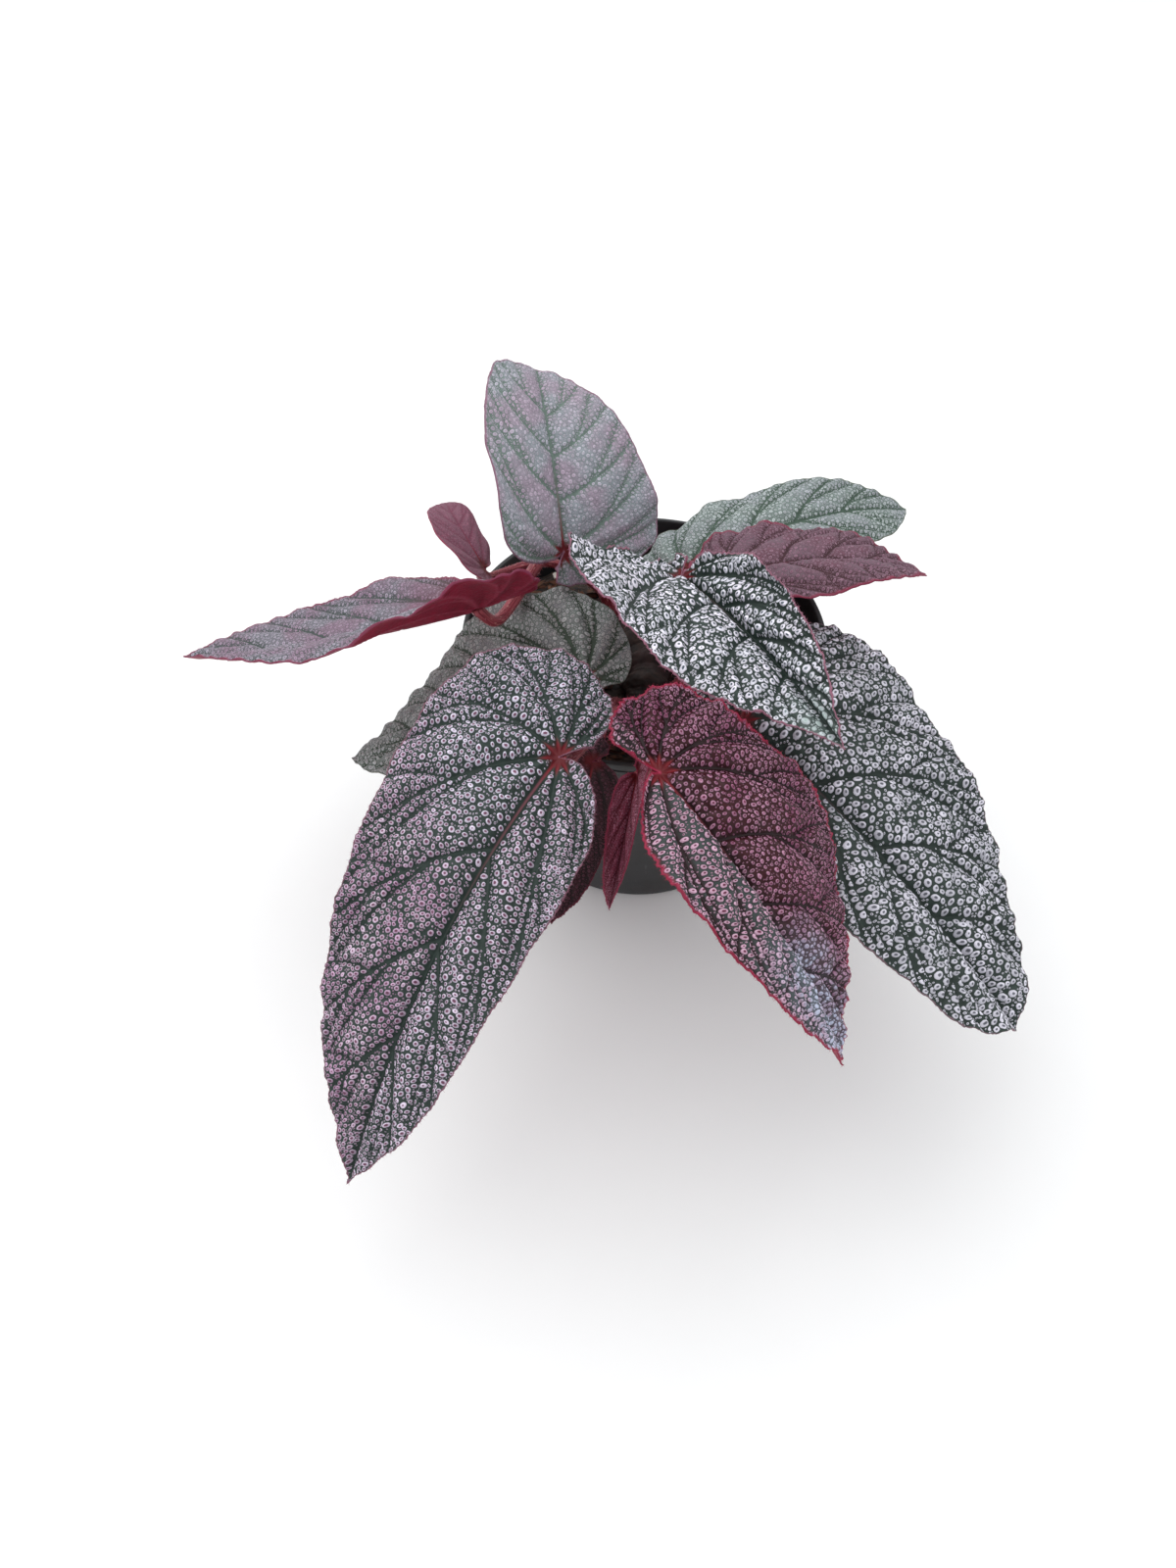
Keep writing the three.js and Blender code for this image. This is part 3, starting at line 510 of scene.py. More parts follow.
def lift(leaf, flat, height):
    """Flat points moved to their place on the plant, each raised by its height along the normal."""
    place, left, up = blend_frames(leaf, flat[:, 0])
    narrow = flat[:, 1] < 0
    across = np.abs(flat[:, 1])
    outward = (np.sign(flat[:, 1]) * leaf["side"])[:, None]
    fold = np.where(narrow, leaf["fold"][1], leaf["fold"][0])
    clasp = leaf.get("clasp", 0) * np.clip(1 - flat[:, 0] / (CLASP_REACH * leaf["length"]), 0, 1)
    fold = fold + clasp
    curl = np.where(narrow, leaf["curl"][1], leaf["curl"][0])
    width = np.where(narrow, leaf["narrow"], leaf["broad"])
    angle = (fold - 0.5 * curl * across / width) * DEGREE
    lean = (angle * np.minimum(across / CREASE, 1))[:, None]
    angle = angle[:, None]
    normal = up * np.cos(lean) - left * outward * np.sin(lean)
    point = place + left * outward * across[:, None] * np.cos(angle) + up * across[:, None] * np.sin(angle)
    return point + normal * height[:, None], normal


def margin_wave(leaf, flat, share):
    """The slow waves of the margin, in millimetres."""
    turn = np.arctan2(flat[:, 1], flat[:, 0])
    height = leaf["wave"] * share ** 4 * np.minimum(1, WAVE_RISE * np.abs(turn))
    return height * np.sin(WAVE_RATE * turn + WAVE_PHASE * leaf["length"])


# ---- spots ---------------------------------------------------------------------------------

SPOT_SIZES = (0.72, 1.18)  # a spot's radius beside the usual one there
DOT_SIZES = (0.24, 0.42)  # and a small dot's
VEIN_ROOM = 0.74  # how near a vein a spot's middle may stand, in spot radii
RIM_ROOM = 0.9  # and how near the margin
ELBOW_ROOM = (0.8, 1.24)  # each spot's share of the usual distance between spots
TRIES = 10  # tries for a spot on each square of its radius
LANE_TAPER = 0.85  # how much narrower the lane beside a vein is at the margin
FORK_LANE = 0.3  # width of a branch's lane beside a vein's
NET_ROOM = 0.22  # how far a spot may reach over the fine net
NEAR_SPOTS = 5  # how many spots are searched for the one that covers a point
FAR_OFF = 3  # offset, in spot radii, given where no spot is near


def scatter_spots(leaf, look, face, clear, chance):
    """Raised spots as rows of u, v and radius: whole, clear of the veins, smaller towards the margin."""
    corners = face.flat[face.faces]
    sides = corners[:, 1:] - corners[:, :1]
    area = np.abs(sides[:, 0, 0] * sides[:, 1, 1] - sides[:, 0, 1] * sides[:, 1, 0])
    inner, outer = look["spots"]
    tries = int(area.sum() * TRIES / outer ** 2)
    pick = chance.choice(len(corners), tries, p=area / area.sum())
    mix = chance.dirichlet((1, 1, 1), tries)
    places = np.einsum("nk,nkc->nc", mix, corners[pick])
    room = np.einsum("nk,nk->n", mix, clear[face.faces][pick])
    rim = np.einsum("nk,nk->n", mix, face.rim[face.faces][pick])
    out = np.clip(share_out(leaf, places), 0, 1)
    full = inner + (outer - inner) * out ** 0.8
    spots = full * chance.uniform(*SPOT_SIZES, tries)
    dots = chance.uniform(*DOT_SIZES, tries) * full
    wanted_dots = chance.uniform(0, 1, tries) < look["dots"]
    cell = inner * 1.3
    grid, rows = {}, []
    # Each spot has its own elbow room, so some run together and some keep dark ground round them.
    crowds = look["crowd"] * (1.2 - 0.26 * out) * chance.uniform(*ELBOW_ROOM, tries)
    for sizes, wanted in ((spots, np.ones(tries, bool)), (dots, wanted_dots)):
        for k in np.flatnonzero(wanted & (room > sizes * VEIN_ROOM) & (rim > sizes * RIM_ROOM)):
            x, y, r, crowd = places[k, 0], places[k, 1], sizes[k], crowds[k]
            i, j = int(x // cell), int(y // cell)
            near = [s for a in range(i - 2, i + 3) for b in range(j - 2, j + 3)
                    for s in grid.get((a, b), ())]
            if all(math.hypot(x - s[0], y - s[1]) > (r + s[2]) * max(crowd, s[3]) for s in near):
                grid.setdefault((i, j), []).append((x, y, r, crowd))
                rows.append((x, y, r))
    return np.array(rows)


def spot_shapes(spots, chance):
    """For each spot a small matrix that makes it oval, leaning any way."""
    turn = chance.uniform(0, math.pi, len(spots))
    long = chance.uniform(0.8, 1.0, len(spots))
    c, s = np.cos(turn), np.sin(turn)
    ones = np.ones(len(spots))
    stretch = np.stack([np.stack([long, 0 * ones], 1), np.stack([0 * ones, 1 / long], 1)], 1)
    spin = np.stack([np.stack([c, s], 1), np.stack([-s, c], 1)], 1)
    return np.einsum("nij,njk->nik", stretch, spin) / spots[:, 2][:, None, None]


def raised_spots(leaf, look, face, net, chance):
    """The blade's spots, which keep off the veins' lanes and the fine net, with their ovals."""
    lane = look["lane"] * (1 - LANE_TAPER * face.share) * np.where(face.level == 2, FORK_LANE, 1)
    clear = np.minimum(face.room - lane, net + NET_ROOM)
    rows = scatter_spots(leaf, look, face, clear, chance)
    return SimpleNamespace(rows=rows, shapes=spot_shapes(rows, chance), tree=tree_of(rows[:, :2]))


def nearest_spots(spots, flat):
    """For each flat point, its nearest spot and its distance from that one's centre in spot radii."""
    count = min(NEAR_SPOTS, len(spots.rows))
    near = np.array([[f[1] for f in spots.tree.find_n((x, y, 0), count)] for x, y in flat])
    offsets = np.einsum("nkij,nkj->nki", spots.shapes[near], flat[:, None] - spots.rows[near, :2])
    reach = np.hypot(offsets[..., 0], offsets[..., 1])
    best = np.argmin(reach, axis=1)
    each = np.arange(len(flat))
    return near[each, best], reach[each, best]


def spot_corners(face, spots, chance):
    """For the corners of each triangle, the offset from a spot in its radii, and that spot's mark. All
    three measure from one spot, so that no spot's edge is blurred."""
    corners = face.flat[face.faces]
    own, _ = nearest_spots(spots, corners.mean(1))
    offsets = np.einsum("nij,nkj->nki", spots.shapes[own], corners - spots.rows[own, None, :2])
    length = np.hypot(offsets[..., 0], offsets[..., 1])
    offsets *= np.minimum(1, FAR_OFF / np.maximum(length, 1e-6))[..., None]
    mark = chance.uniform(0, 1, len(spots.rows))[own]
    return np.concatenate([offsets, np.broadcast_to(mark[:, None, None], (len(mark), 3, 1))], 2)


def dome(reach):
    """Height of a raised spot over its own radius: a blunt dome with a dimple on top."""
    blunt = np.clip(1 - reach ** 2.4, 0, 1)
    dimple = 0.3 * np.exp(-(reach / 0.4) ** 2)
    return blunt - dimple


# ---- a blade's mesh --------------------------------------------------------------------------

COARSER = 1
GRID_SHAKE = 0.12  # how far a grid's points are shaken, as a share of its spacing
GRID_CLEAR = 0.62  # how far they stay away from the outline, as another
LOWER_GRID = 0.85  # spacing of the lower face's points
EDGE_GRID = 1.15  # spacing of the outline's points beside the upper face's
EDGE_LEAST = 0.35  # and the least it may be
RIM_STEP = 0.15  # spacing of the points that distances from the margin are taken to
EDGE_HALF = 0.14  # half of the blade's thickness at its margin
THICK_WITHIN = 1.3  # it reaches its full thickness this far in
PANEL_RISE = 2.4  # distance from a vein over which a panel swells to its full height
NET_RISE = 0.9  # and from the fine net
NET_SWELL = 0.4  # swell of the net's small panels beside that of the large ones
NET_FADE = 1.5  # the small panels grow over this distance from a vein
GROOVE = 0.5  # depth of the groove over a vein
SMALL_GROOVE = 0.2  # and on a small leaf
GROOVE_WIDTH = 0.6
RIDGES = [0.7, 0.5, 0.25]  # ridges under the midrib, the side veins and their branches
SMALL_RIDGE = 0.5  # how much lower they are on a small leaf
RIDGE_WIDTH = 0.8
VEIN_FADE = 2  # grooves and ridges fade out this near the margin
DOME_GRIDS = (1.1, 1.8)  # radii, in grid spacings, at which a spot starts to be raised and is in full
STAR_RADII = (4.8, 2)  # reach of the red star round the stalk, and on a small leaf
UNDER_PLANE = 50  # third number of the underside's plan, so that its patterns aren't the upper face's
MAP_ROOM = 1.2  # on the blade's map, the room round the outline
MAP_WALL = 0.6  # width of the wall between the faces
MAP_UPPER = 0.78  # height of the upper face's part
MAP_FOOT = 0.79  # where the underside's part starts
MAP_UNDER = 0.2  # and its height


def fill_outline(edge, inner):
    """Points and triangles that fill an outline, and where the outline's own points are among them."""
    points = [Vector(p) for p in np.vstack([edge, inner])]
    corners, _, faces, origin, _, _ = delaunay_2d_cdt(points, [], [list(range(len(edge)))], 1, 1e-5)
    place_of = {k: j for j, ks in enumerate(origin) for k in ks}
    ring = np.array([place_of[k] for k in range(len(edge))])
    faces = np.array([list(f) for f in faces])
    used = np.unique(np.concatenate([faces.ravel(), ring]))
    again = np.full(len(corners), -1)
    again[used] = np.arange(len(used))
    flat = np.array([(c.x, c.y) for c in corners])[used]
    return flat, again[faces], again[ring]


def inner_points(leaf, edge, edge_tree, grid, chance):
    """A slightly shaken triangular grid of points inside an outline."""
    low, high = edge.min(0), edge.max(0)
    rise = grid * math.sqrt(3) / 2
    u, v = np.meshgrid(np.arange(low[0], high[0], grid), np.arange(low[1], high[1], rise))
    u[1::2] += grid / 2
    flat = np.stack([u.ravel(), v.ravel()], 1)
    flat += chance.uniform(-GRID_SHAKE, GRID_SHAKE, (u.size, 2)) * grid
    flat = flat[share_out(leaf, flat) < 1.02]
    away, _ = nearest(edge_tree, flat)
    angle = turned(flat)
    ends = [turned(on_margin(leaf, half, rays[-1]))[0]
            for half, rays in ((1, NARROW_RAYS), (0, BROAD_RAYS))]
    inside = (angle > ends[0] - 0.05) & (angle < ends[1] + 0.05) & (away > GRID_CLEAR * grid)
    return flat[inside & (share_out(leaf, flat) < 1)]


def main_vein_points(leaf):
    """The main veins that the solid's relief follows, as close flat points."""
    ends = [np.array([leaf["length"], 0.0])]
    ends += [on_margin(leaf, 0, place)[0] for place in BROAD_VEINS]
    ends += [on_margin(leaf, 1, place)[0] for place in NARROW_VEINS]
    return np.vstack([resampled(along_ray(end, np.linspace(0, 1, 9)), 0.25)[0] for end in ends])


def blade_plan(leaf, look, grid, chance):
    """What both faces of a blade are drawn from: its outline, its veins and trees that search them."""
    edge = blade_edge(leaf, look, max(grid * EDGE_GRID, EDGE_LEAST), chance)
    veins = vein_lines(leaf, look.get("forks", len(FORKS)))
    return SimpleNamespace(
        edge=edge, veins=veins, edge_tree=tree_of(edge), vein_tree=tree_of(veins[:, :2]),
        main_tree=tree_of(main_vein_points(leaf)),
        rim_tree=tree_of(resampled(np.vstack([edge, edge[:1]]), RIM_STEP)[0]))


def flat_face(leaf, plan, grid, chance):
    """One face of a blade before it is raised. For each of its points: share of the way out, distance
    from the nearest vein's middle (away) and side (room), that vein's level, distance from the margin."""
    inner = inner_points(leaf, plan.edge, plan.edge_tree, grid, chance)
    flat, faces, ring = fill_outline(plan.edge, inner)
    away, which = nearest(plan.vein_tree, flat)
    return SimpleNamespace(
        flat=flat, faces=faces, ring=ring, share=np.clip(share_out(leaf, flat), 0, 1), away=away,
        room=away - plan.veins[which, 2], level=plan.veins[which, 3],
        rim=nearest(plan.rim_tree, flat)[0])


def smooth(low, high, value):
    """From 0 at low to 1 at high, without a corner."""
    part = np.clip((value - low) / (high - low), 0, 1)
    return part * part * (3 - 2 * part)


def base_relief(leaf, plan, face):
    """The relief that the solid has too: the swell between main veins and the waves of the margin."""
    away, _ = nearest(plan.main_tree, face.flat)
    swell = leaf["puff"] * (1 - np.exp(-(away / VEIN_GROOVE) ** 2))
    return swell + margin_wave(leaf, face.flat, face.share)


def panel_swell(look, face):
    """How far the panels between the side veins swell."""
    return look["quilt"] * (1 - np.exp(-(np.maximum(face.room, 0) / PANEL_RISE) ** 2))


def half_thickness(face):
    """Half the blade's thickness, less towards the margin."""
    return EDGE_HALF + (BLADE_THICKNESS / 2 - EDGE_HALF) * (1 - np.exp(-face.rim / THICK_WITHIN))


def upper_height(leaf, look, plan, face, net, spots, grid):
    """Height of the upper face: swollen panels, grooves over the veins, and raised spots."""
    quilt = panel_swell(look, face)
    small_panels = NET_SWELL * look["quilt"] * (1 - np.exp(-(net / NET_RISE) ** 2))
    quilt += small_panels * smooth(0, NET_FADE, face.room)
    depth = SMALL_GROOVE if leaf.get("small") else GROOVE
    groove = -depth * np.exp(-(face.away / GROOVE_WIDTH) ** 2) * smooth(0, 1, face.rim / VEIN_FADE)
    own, reach = nearest_spots(spots, face.flat)
    radius = spots.rows[own, 2]
    raised = look["dome"] * radius * dome(reach) * smooth(*DOME_GRIDS, radius / grid)
    return base_relief(leaf, plan, face) + quilt + groove + raised + half_thickness(face)


def lower_height(leaf, look, plan, face):
    """Height of the lower face, where the veins stand out as ridges."""
    ridge = -np.choose(face.level.astype(int), RIDGES) * np.exp(-(face.away / RIDGE_WIDTH) ** 2)
    ridge *= (SMALL_RIDGE if leaf.get("small") else 1) * smooth(0, 1, face.rim / VEIN_FADE)
    return base_relief(leaf, plan, face) + panel_swell(look, face) + ridge - half_thickness(face)


def joined_faces(upper, lower):
    """Triangles of both faces, and of the walls that join them round the outline."""
    shift = len(upper.flat)
    a, c = upper.ring, lower.ring + shift
    b, d = np.roll(a, -1), np.roll(c, -1)
    walls = np.vstack([np.stack([a, c, d], 1), np.stack([a, d, b], 1)])
    return np.vstack([upper.faces, (lower.faces + shift)[:, ::-1], walls])


def blade_map(plan, upper, lower):
    """The corners' places on the map: the upper face with the walls round it, the underside above."""
    low, high = plan.edge.min(0) - MAP_ROOM, plan.edge.max(0) + MAP_ROOM
    outward = plan.edge - plan.edge.mean(0)
    outward /= np.hypot(*outward.T)[:, None]
    top, wall = [(flat - low) / (high - low) * (1, MAP_UPPER)
                 for flat in (upper.flat, plan.edge + outward * MAP_WALL)]
    under = (lower.flat - low) / (high - low) * (1, MAP_UNDER) + (0, MAP_FOOT)
    rim = top[upper.ring]
    next_rim, next_wall = np.roll(rim, -1, axis=0), np.roll(wall, -1, axis=0)
    return np.concatenate([
        top[upper.faces], under[lower.faces[:, ::-1]],
        np.stack([rim, wall, next_wall], 1), np.stack([rim, next_wall, next_rim], 1),
    ])


def midrib_red(leaf, face):
    """How red the blade is along its midrib and on the veins round the stalk, from 0 to 1."""
    u, v = face.flat.T
    rib = np.exp(-(v / 0.5) ** 2) * np.clip(1 - u / (0.6 * leaf["length"]), 0, 1) * (u > -1)
    radius = STAR_RADII[1] if leaf.get("small") else STAR_RADII[0]
    star = np.exp(-(np.hypot(u, v) / radius) ** 2) * np.exp(-(face.away / 0.6) ** 2)
    return np.clip(np.maximum(rib * 0.9, 1.4 * star), 0, 1)


def point_data(leaf, face, room, net, plane):
    """What the skins read at a face's points. vein: distance from a vein, redness, distance from the
    margin. place: share of the way out, distance from the stalk and from the net. plan: flat place."""
    return dict(
        vein=np.column_stack([room, midrib_red(leaf, face), face.rim]),
        place=np.column_stack([face.share, np.hypot(*face.flat.T), net]),
        plan=np.column_stack([face.flat, np.full(len(face.flat), plane)]))


def build_blade(leaf, look, skins):
    """One leaf's blade, with its outline as flat points and as places on the plant."""
    chance = np.random.default_rng(SEED + sum(map(ord, leaf["name"])))
    grid = look["grid"] * COARSER
    plan = blade_plan(leaf, look, grid, chance)
    upper = flat_face(leaf, plan, grid, chance)
    net = net_distance(leaf, upper.flat, np.random.default_rng(SEED))
    spots = raised_spots(leaf, look, upper, net, chance)
    top, _ = lift(leaf, upper.flat, upper_height(leaf, look, plan, upper, net, spots, grid))
    lower = flat_face(leaf, plan, LOWER_GRID * COARSER, chance)
    under, _ = lift(leaf, lower.flat, lower_height(leaf, look, plan, lower))

    # A mirrored blade's triangles run the other way round.
    order = slice(None, None, leaf["side"])
    triangles = joined_faces(upper, lower)[:, order]
    on_spots = np.zeros((len(triangles), 3, 3))
    on_spots[:, :, 0] = FAR_OFF
    on_spots[:len(upper.faces)] = spot_corners(upper, spots, chance)[:, order]
    both = (point_data(leaf, upper, upper.room, net, 0),
            point_data(leaf, lower, lower.away, 0 * lower.share, UNDER_PLANE))
    piece = make_mesh(
        "blade_" + leaf["name"], np.vstack([top, under]), triangles, corner={"spot": on_spots},
        point={key: np.vstack([data[key] for data in both]) for key in both[0]},
        maps=blade_map(plan, upper, lower)[:, order], materials=skins,
        skins=np.arange(len(triangles)) >= len(upper.faces))
    return piece, plan.edge, (top[upper.ring] + under[lower.ring]) / 2


def make_mesh(name, points, triangles, corner=None, point=None, maps=None, materials=(), skins=None):
    """A smooth mesh object from points in millimetres."""
    mesh = bpy.data.meshes.new(name)
    mesh.vertices.add(len(points))
    mesh.vertices.foreach_set("co", (np.asarray(points) * MM).astype(np.float32).ravel())
    mesh.loops.add(3 * len(triangles))
    mesh.loops.foreach_set("vertex_index", np.asarray(triangles).astype(np.int32).ravel())
    mesh.polygons.add(len(triangles))
    mesh.polygons.foreach_set("loop_start", np.arange(0, 3 * len(triangles), 3, dtype=np.int32))
    mesh.update(calc_edges=True)
    mesh.polygons.foreach_set("use_smooth", np.ones(len(triangles), bool))
    for domain, table in (("CORNER", corner), ("POINT", point)):
        for key, values in (table or {}).items():
            made = mesh.attributes.new(key, "FLOAT_VECTOR", domain)
            made.data.foreach_set("vector", np.asarray(values, np.float32).ravel())
    if maps is not None:
        layer = mesh.uv_layers.new(name="OFBake")
        layer.data.foreach_set("uv", maps.astype(np.float32).ravel())
    for material in materials:
        mesh.materials.append(material)
    if skins is not None:
        mesh.polygons.foreach_set("material_index", skins.astype(np.int32))
    mesh.validate()
    made = bpy.data.objects.new(name, mesh)
    bpy.context.scene.collection.objects.link(made)
    return made


def keep(piece, slot, *nodes):
    """Puts a finished piece on the plant's one body, in place of its plain solids."""
    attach(piece, "root")
    if nodes:
        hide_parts(*nodes)
    return piece


# ---- nodes and colours -----------------------------------------------------------------------


def linear(code):
    """An sRGB hex colour as linear red, green, blue and alpha."""
    parts = [int(code[k:k + 2], 16) / 255 for k in (1, 3, 5)]
    return (*[c / 12.92 if c <= 0.04045 else ((c + 0.055) / 1.055) ** 2.4 for c in parts], 1)


def add(tree, kind, inputs=None, **settings):
    """Adds a node with its settings. An input is a value, or the output socket that it is linked to."""
    node = tree.nodes.new(kind)
    for name, value in settings.items():
        setattr(node, name, value)
    for name, value in (inputs or {}).items():
        if isinstance(value, bpy.types.NodeSocket):
            tree.links.new(value, node.inputs[name])
        else:
            node.inputs[name].default_value = value
    return node


def new_material(name):
    """An empty material and its node tree."""
    material = bpy.data.materials.new(name)
    material.use_nodes = True
    material.node_tree.nodes.clear()
    return material, material.node_tree


def finish_surface(tree, inputs):
    """Ends a material in one Principled shader."""
    shader = add(tree, "ShaderNodeBsdfPrincipled", inputs)
    add(tree, "ShaderNodeOutputMaterial", {"Surface": shader.outputs[0]})


MAP = "ShaderNodeMapRange"
MATH = "ShaderNodeMath"
MIX = "ShaderNodeMix"
NOISE = "ShaderNodeTexNoise"
TINT = dict(data_type="RGBA")
SOFT = dict(interpolation_type="SMOOTHSTEP")

# ---- materials ---------------------------------------------------------------------------------
# A pattern on Object coordinates counts in metres, so a scale of 420 draws crumbs 1000 / 420 = 2.4 mm
# wide. One on a blade's plan or along a stalk counts in millimetres.

DARK_RED = "#5c0812"  # the blade right over its stalk
STAR_RED = "#7d1320"  # and the veins close round it
SPOT_WOBBLE = 0.34  # how uneven a spot's edge is, in spot radii
BUMP_STRENGTH = 0.75
BUMP_HEIGHT = 0.00028


def blade_facts(tree):
    """What the blade's mesh tells its upper skin, and the patterns that several of its parts share.
    Its plan counts in millimetres: patches are about 14 mm wide, mottling 2 mm and the wobble of a
    spot's edge 0.6 mm."""
    plan = add(tree, "ShaderNodeAttribute", attribute_name="plan").outputs["Vector"]
    spot, vein, place = [
        add(tree, "ShaderNodeSeparateXYZ", {
            0: add(tree, "ShaderNodeAttribute", attribute_name=key).outputs["Vector"]}).outputs
        for key in ("spot", "vein", "place")]
    blotch = add(tree, NOISE, {"Vector": plan, "Scale": 0.07, "Detail": 3.0}).outputs[0]
    mottle = add(tree, NOISE, {"Vector": plan, "Scale": 0.5, "Detail": 4.0, "Roughness": 0.6}).outputs[0]
    wobble = add(tree, NOISE, {"Vector": plan, "Scale": 1.7, "Detail": 2.0}).outputs[0]
    flat = add(tree, "ShaderNodeCombineXYZ", {0: spot[0], 1: spot[1]}).outputs[0]
    length = add(tree, "ShaderNodeVectorMath", {0: flat}, operation="LENGTH").outputs["Value"]
    reach = add(tree, MATH, {0: wobble, 1: SPOT_WOBBLE, 2: length}, operation="MULTIPLY_ADD").outputs[0]
    reach = add(tree, MATH, {0: reach, 1: SPOT_WOBBLE / 2}, operation="SUBTRACT").outputs[0]
    across = add(tree, "ShaderNodeSeparateXYZ", {0: plan}).outputs[1]
    return SimpleNamespace(
        plan=plan, spot=spot, vein=vein, place=place, mottle=mottle, reach=reach, across=across,
        patch=add(tree, MAP, {0: blotch, 1: 0.4, 2: 0.62}, **SOFT).outputs[0],
        narrow=add(tree, MAP, {0: across, 1: -3.0, 2: 3.0, 3: 1.0, 4: 0.0}, **SOFT).outputs[0],
        on_spot=add(tree, MAP, {0: reach, 1: 0.82, 2: 0.98, 3: 1.0, 4: 0.0}, **SOFT).outputs[0])


def ground_colour(tree, look, facts, panel):
    """Between the spots: dark along the veins and the fine net, greener or redder on the panels."""
    dark = linear(look["vein"])
    other = linear(look.get("panel2", look["panel"]))
    ground = add(tree, MIX, {0: facts.patch, 6: linear(look["panel"]), 7: other}, **TINT).outputs[2]
    ground = add(tree, MIX, {0: panel, 6: dark, 7: ground}, **TINT).outputs[2]
    seam = add(tree, MAP, {0: facts.place[2], 1: 0.0, 2: 0.35, 3: 0.25, 4: 0.0}, **SOFT).outputs[0]
    ground = add(tree, MIX, {0: seam, 6: ground, 7: dark}, **TINT).outputs[2]
    shade = add(tree, MAP, {0: facts.mottle, 1: 0.3, 2: 0.72, 3: 0.74, 4: 1.22}).outputs[0]
    ground = add(tree, MIX, {0: 1.0, 6: ground, 7: shade}, blend_type="MULTIPLY", **TINT).outputs[2]
    if "narrow_panel" in look:
        greener = add(tree, MIX, {0: panel, 6: dark, 7: linear(look["narrow_panel"])}, **TINT).outputs[2]
        ground = add(tree, MIX, {0: facts.narrow, 6: ground, 7: greener}, **TINT).outputs[2]
    halo = add(tree, MAP, {0: facts.reach, 1: 0.95, 2: 1.4, 3: 0.6, 4: 0.0}, **SOFT).outputs[0]
    return add(tree, MIX, {0: halo, 6: ground, 7: dark}, **TINT).outputs[2]


def spot_colour(tree, look, facts):
    """A spot's ring and dimple: some paler, some pinker, some with hardly a dimple."""
    ring, other = linear(look["ring"]), linear(look["ring2"])
    ring = add(tree, MIX, {0: facts.patch, 6: ring, 7: other}, **TINT).outputs[2]
    if "base_ring" in look:
        near = add(tree, MAP, {0: facts.place[1], 1: 18.0, 2: 55.0, 3: 1.0, 4: 0.0}, **SOFT).outputs[0]
        ring = add(tree, MIX, {0: near, 6: ring, 7: linear(look["base_ring"])}, **TINT).outputs[2]
    if "narrow_ring" in look:
        other = linear(look["narrow_ring"])
        ring = add(tree, MIX, {0: facts.narrow, 6: ring, 7: other}, **TINT).outputs[2]
    mark = facts.spot[2]
    open_eye = add(tree, MAP, {0: mark, 1: 0.84, 2: 1.0, 3: look["eye_size"], 4: 0.24}).outputs[0]
    past_eye = add(tree, MATH, {0: facts.reach, 1: open_eye}, operation="SUBTRACT").outputs[0]
    eye = add(tree, MAP, {0: past_eye, 1: -0.12, 2: 0.14, 3: 1.0, 4: 0.0}, **SOFT).outputs[0]
    blister = add(tree, MIX, {0: eye, 6: ring, 7: linear(look["eye"])}, **TINT).outputs[2]
    worn = add(tree, MAP, {0: mark, 3: 0.78, 4: 1.12}).outputs[0]
    return add(tree, MIX, {0: 1.0, 6: blister, 7: worn}, blend_type="MULTIPLY", **TINT).outputs[2]


def with_reds(tree, look, facts, colour):
    """Red on a young base, where the stalk joins and along the midrib, and the thin coloured margin."""
    out = facts.place[1]
    if "flush" in look:
        reddened, red_code = look["flush"]
        flushed = add(tree, MAP, {0: out, 1: 0.0, 2: reddened, 3: 0.85, 4: 0.0}, **SOFT).outputs[0]
        colour = add(tree, MIX, {0: flushed, 6: colour, 7: linear(red_code)}, **TINT).outputs[2]
    red = add(tree, MAP, {0: facts.vein[1], 1: 0.15, 2: 0.8}, **SOFT).outputs[0]
    by_stalk = add(tree, MAP, {0: out, 1: 3.0, 2: 11.0, 3: 1.0, 4: 0.0}, **SOFT).outputs[0]
    rib = add(tree, MIX, {0: by_stalk, 6: linear(look["midrib"]), 7: linear(STAR_RED)}, **TINT).outputs[2]
    colour = add(tree, MIX, {0: red, 6: colour, 7: rib}, **TINT).outputs[2]
    centre = add(tree, MAP, {0: out, 1: 1.4, 2: 4.8, 3: 1.0, 4: 0.0}, **SOFT).outputs[0]
    colour = add(tree, MIX, {0: centre, 6: colour, 7: linear(DARK_RED)}, **TINT).outputs[2]
    edge = facts.vein[2]
    ragged = add(tree, MATH, {0: facts.mottle, 1: 0.9, 2: edge}, operation="MULTIPLY_ADD").outputs[0]
    rim = add(tree, MAP, {0: ragged, 1: 0.42, 2: 0.42 + look["rim"], 3: 1.0, 4: 0.0}, **SOFT).outputs[0]
    return add(tree, MIX, {0: rim, 6: colour, 7: linear(look["margin"])}, **TINT).outputs[2]


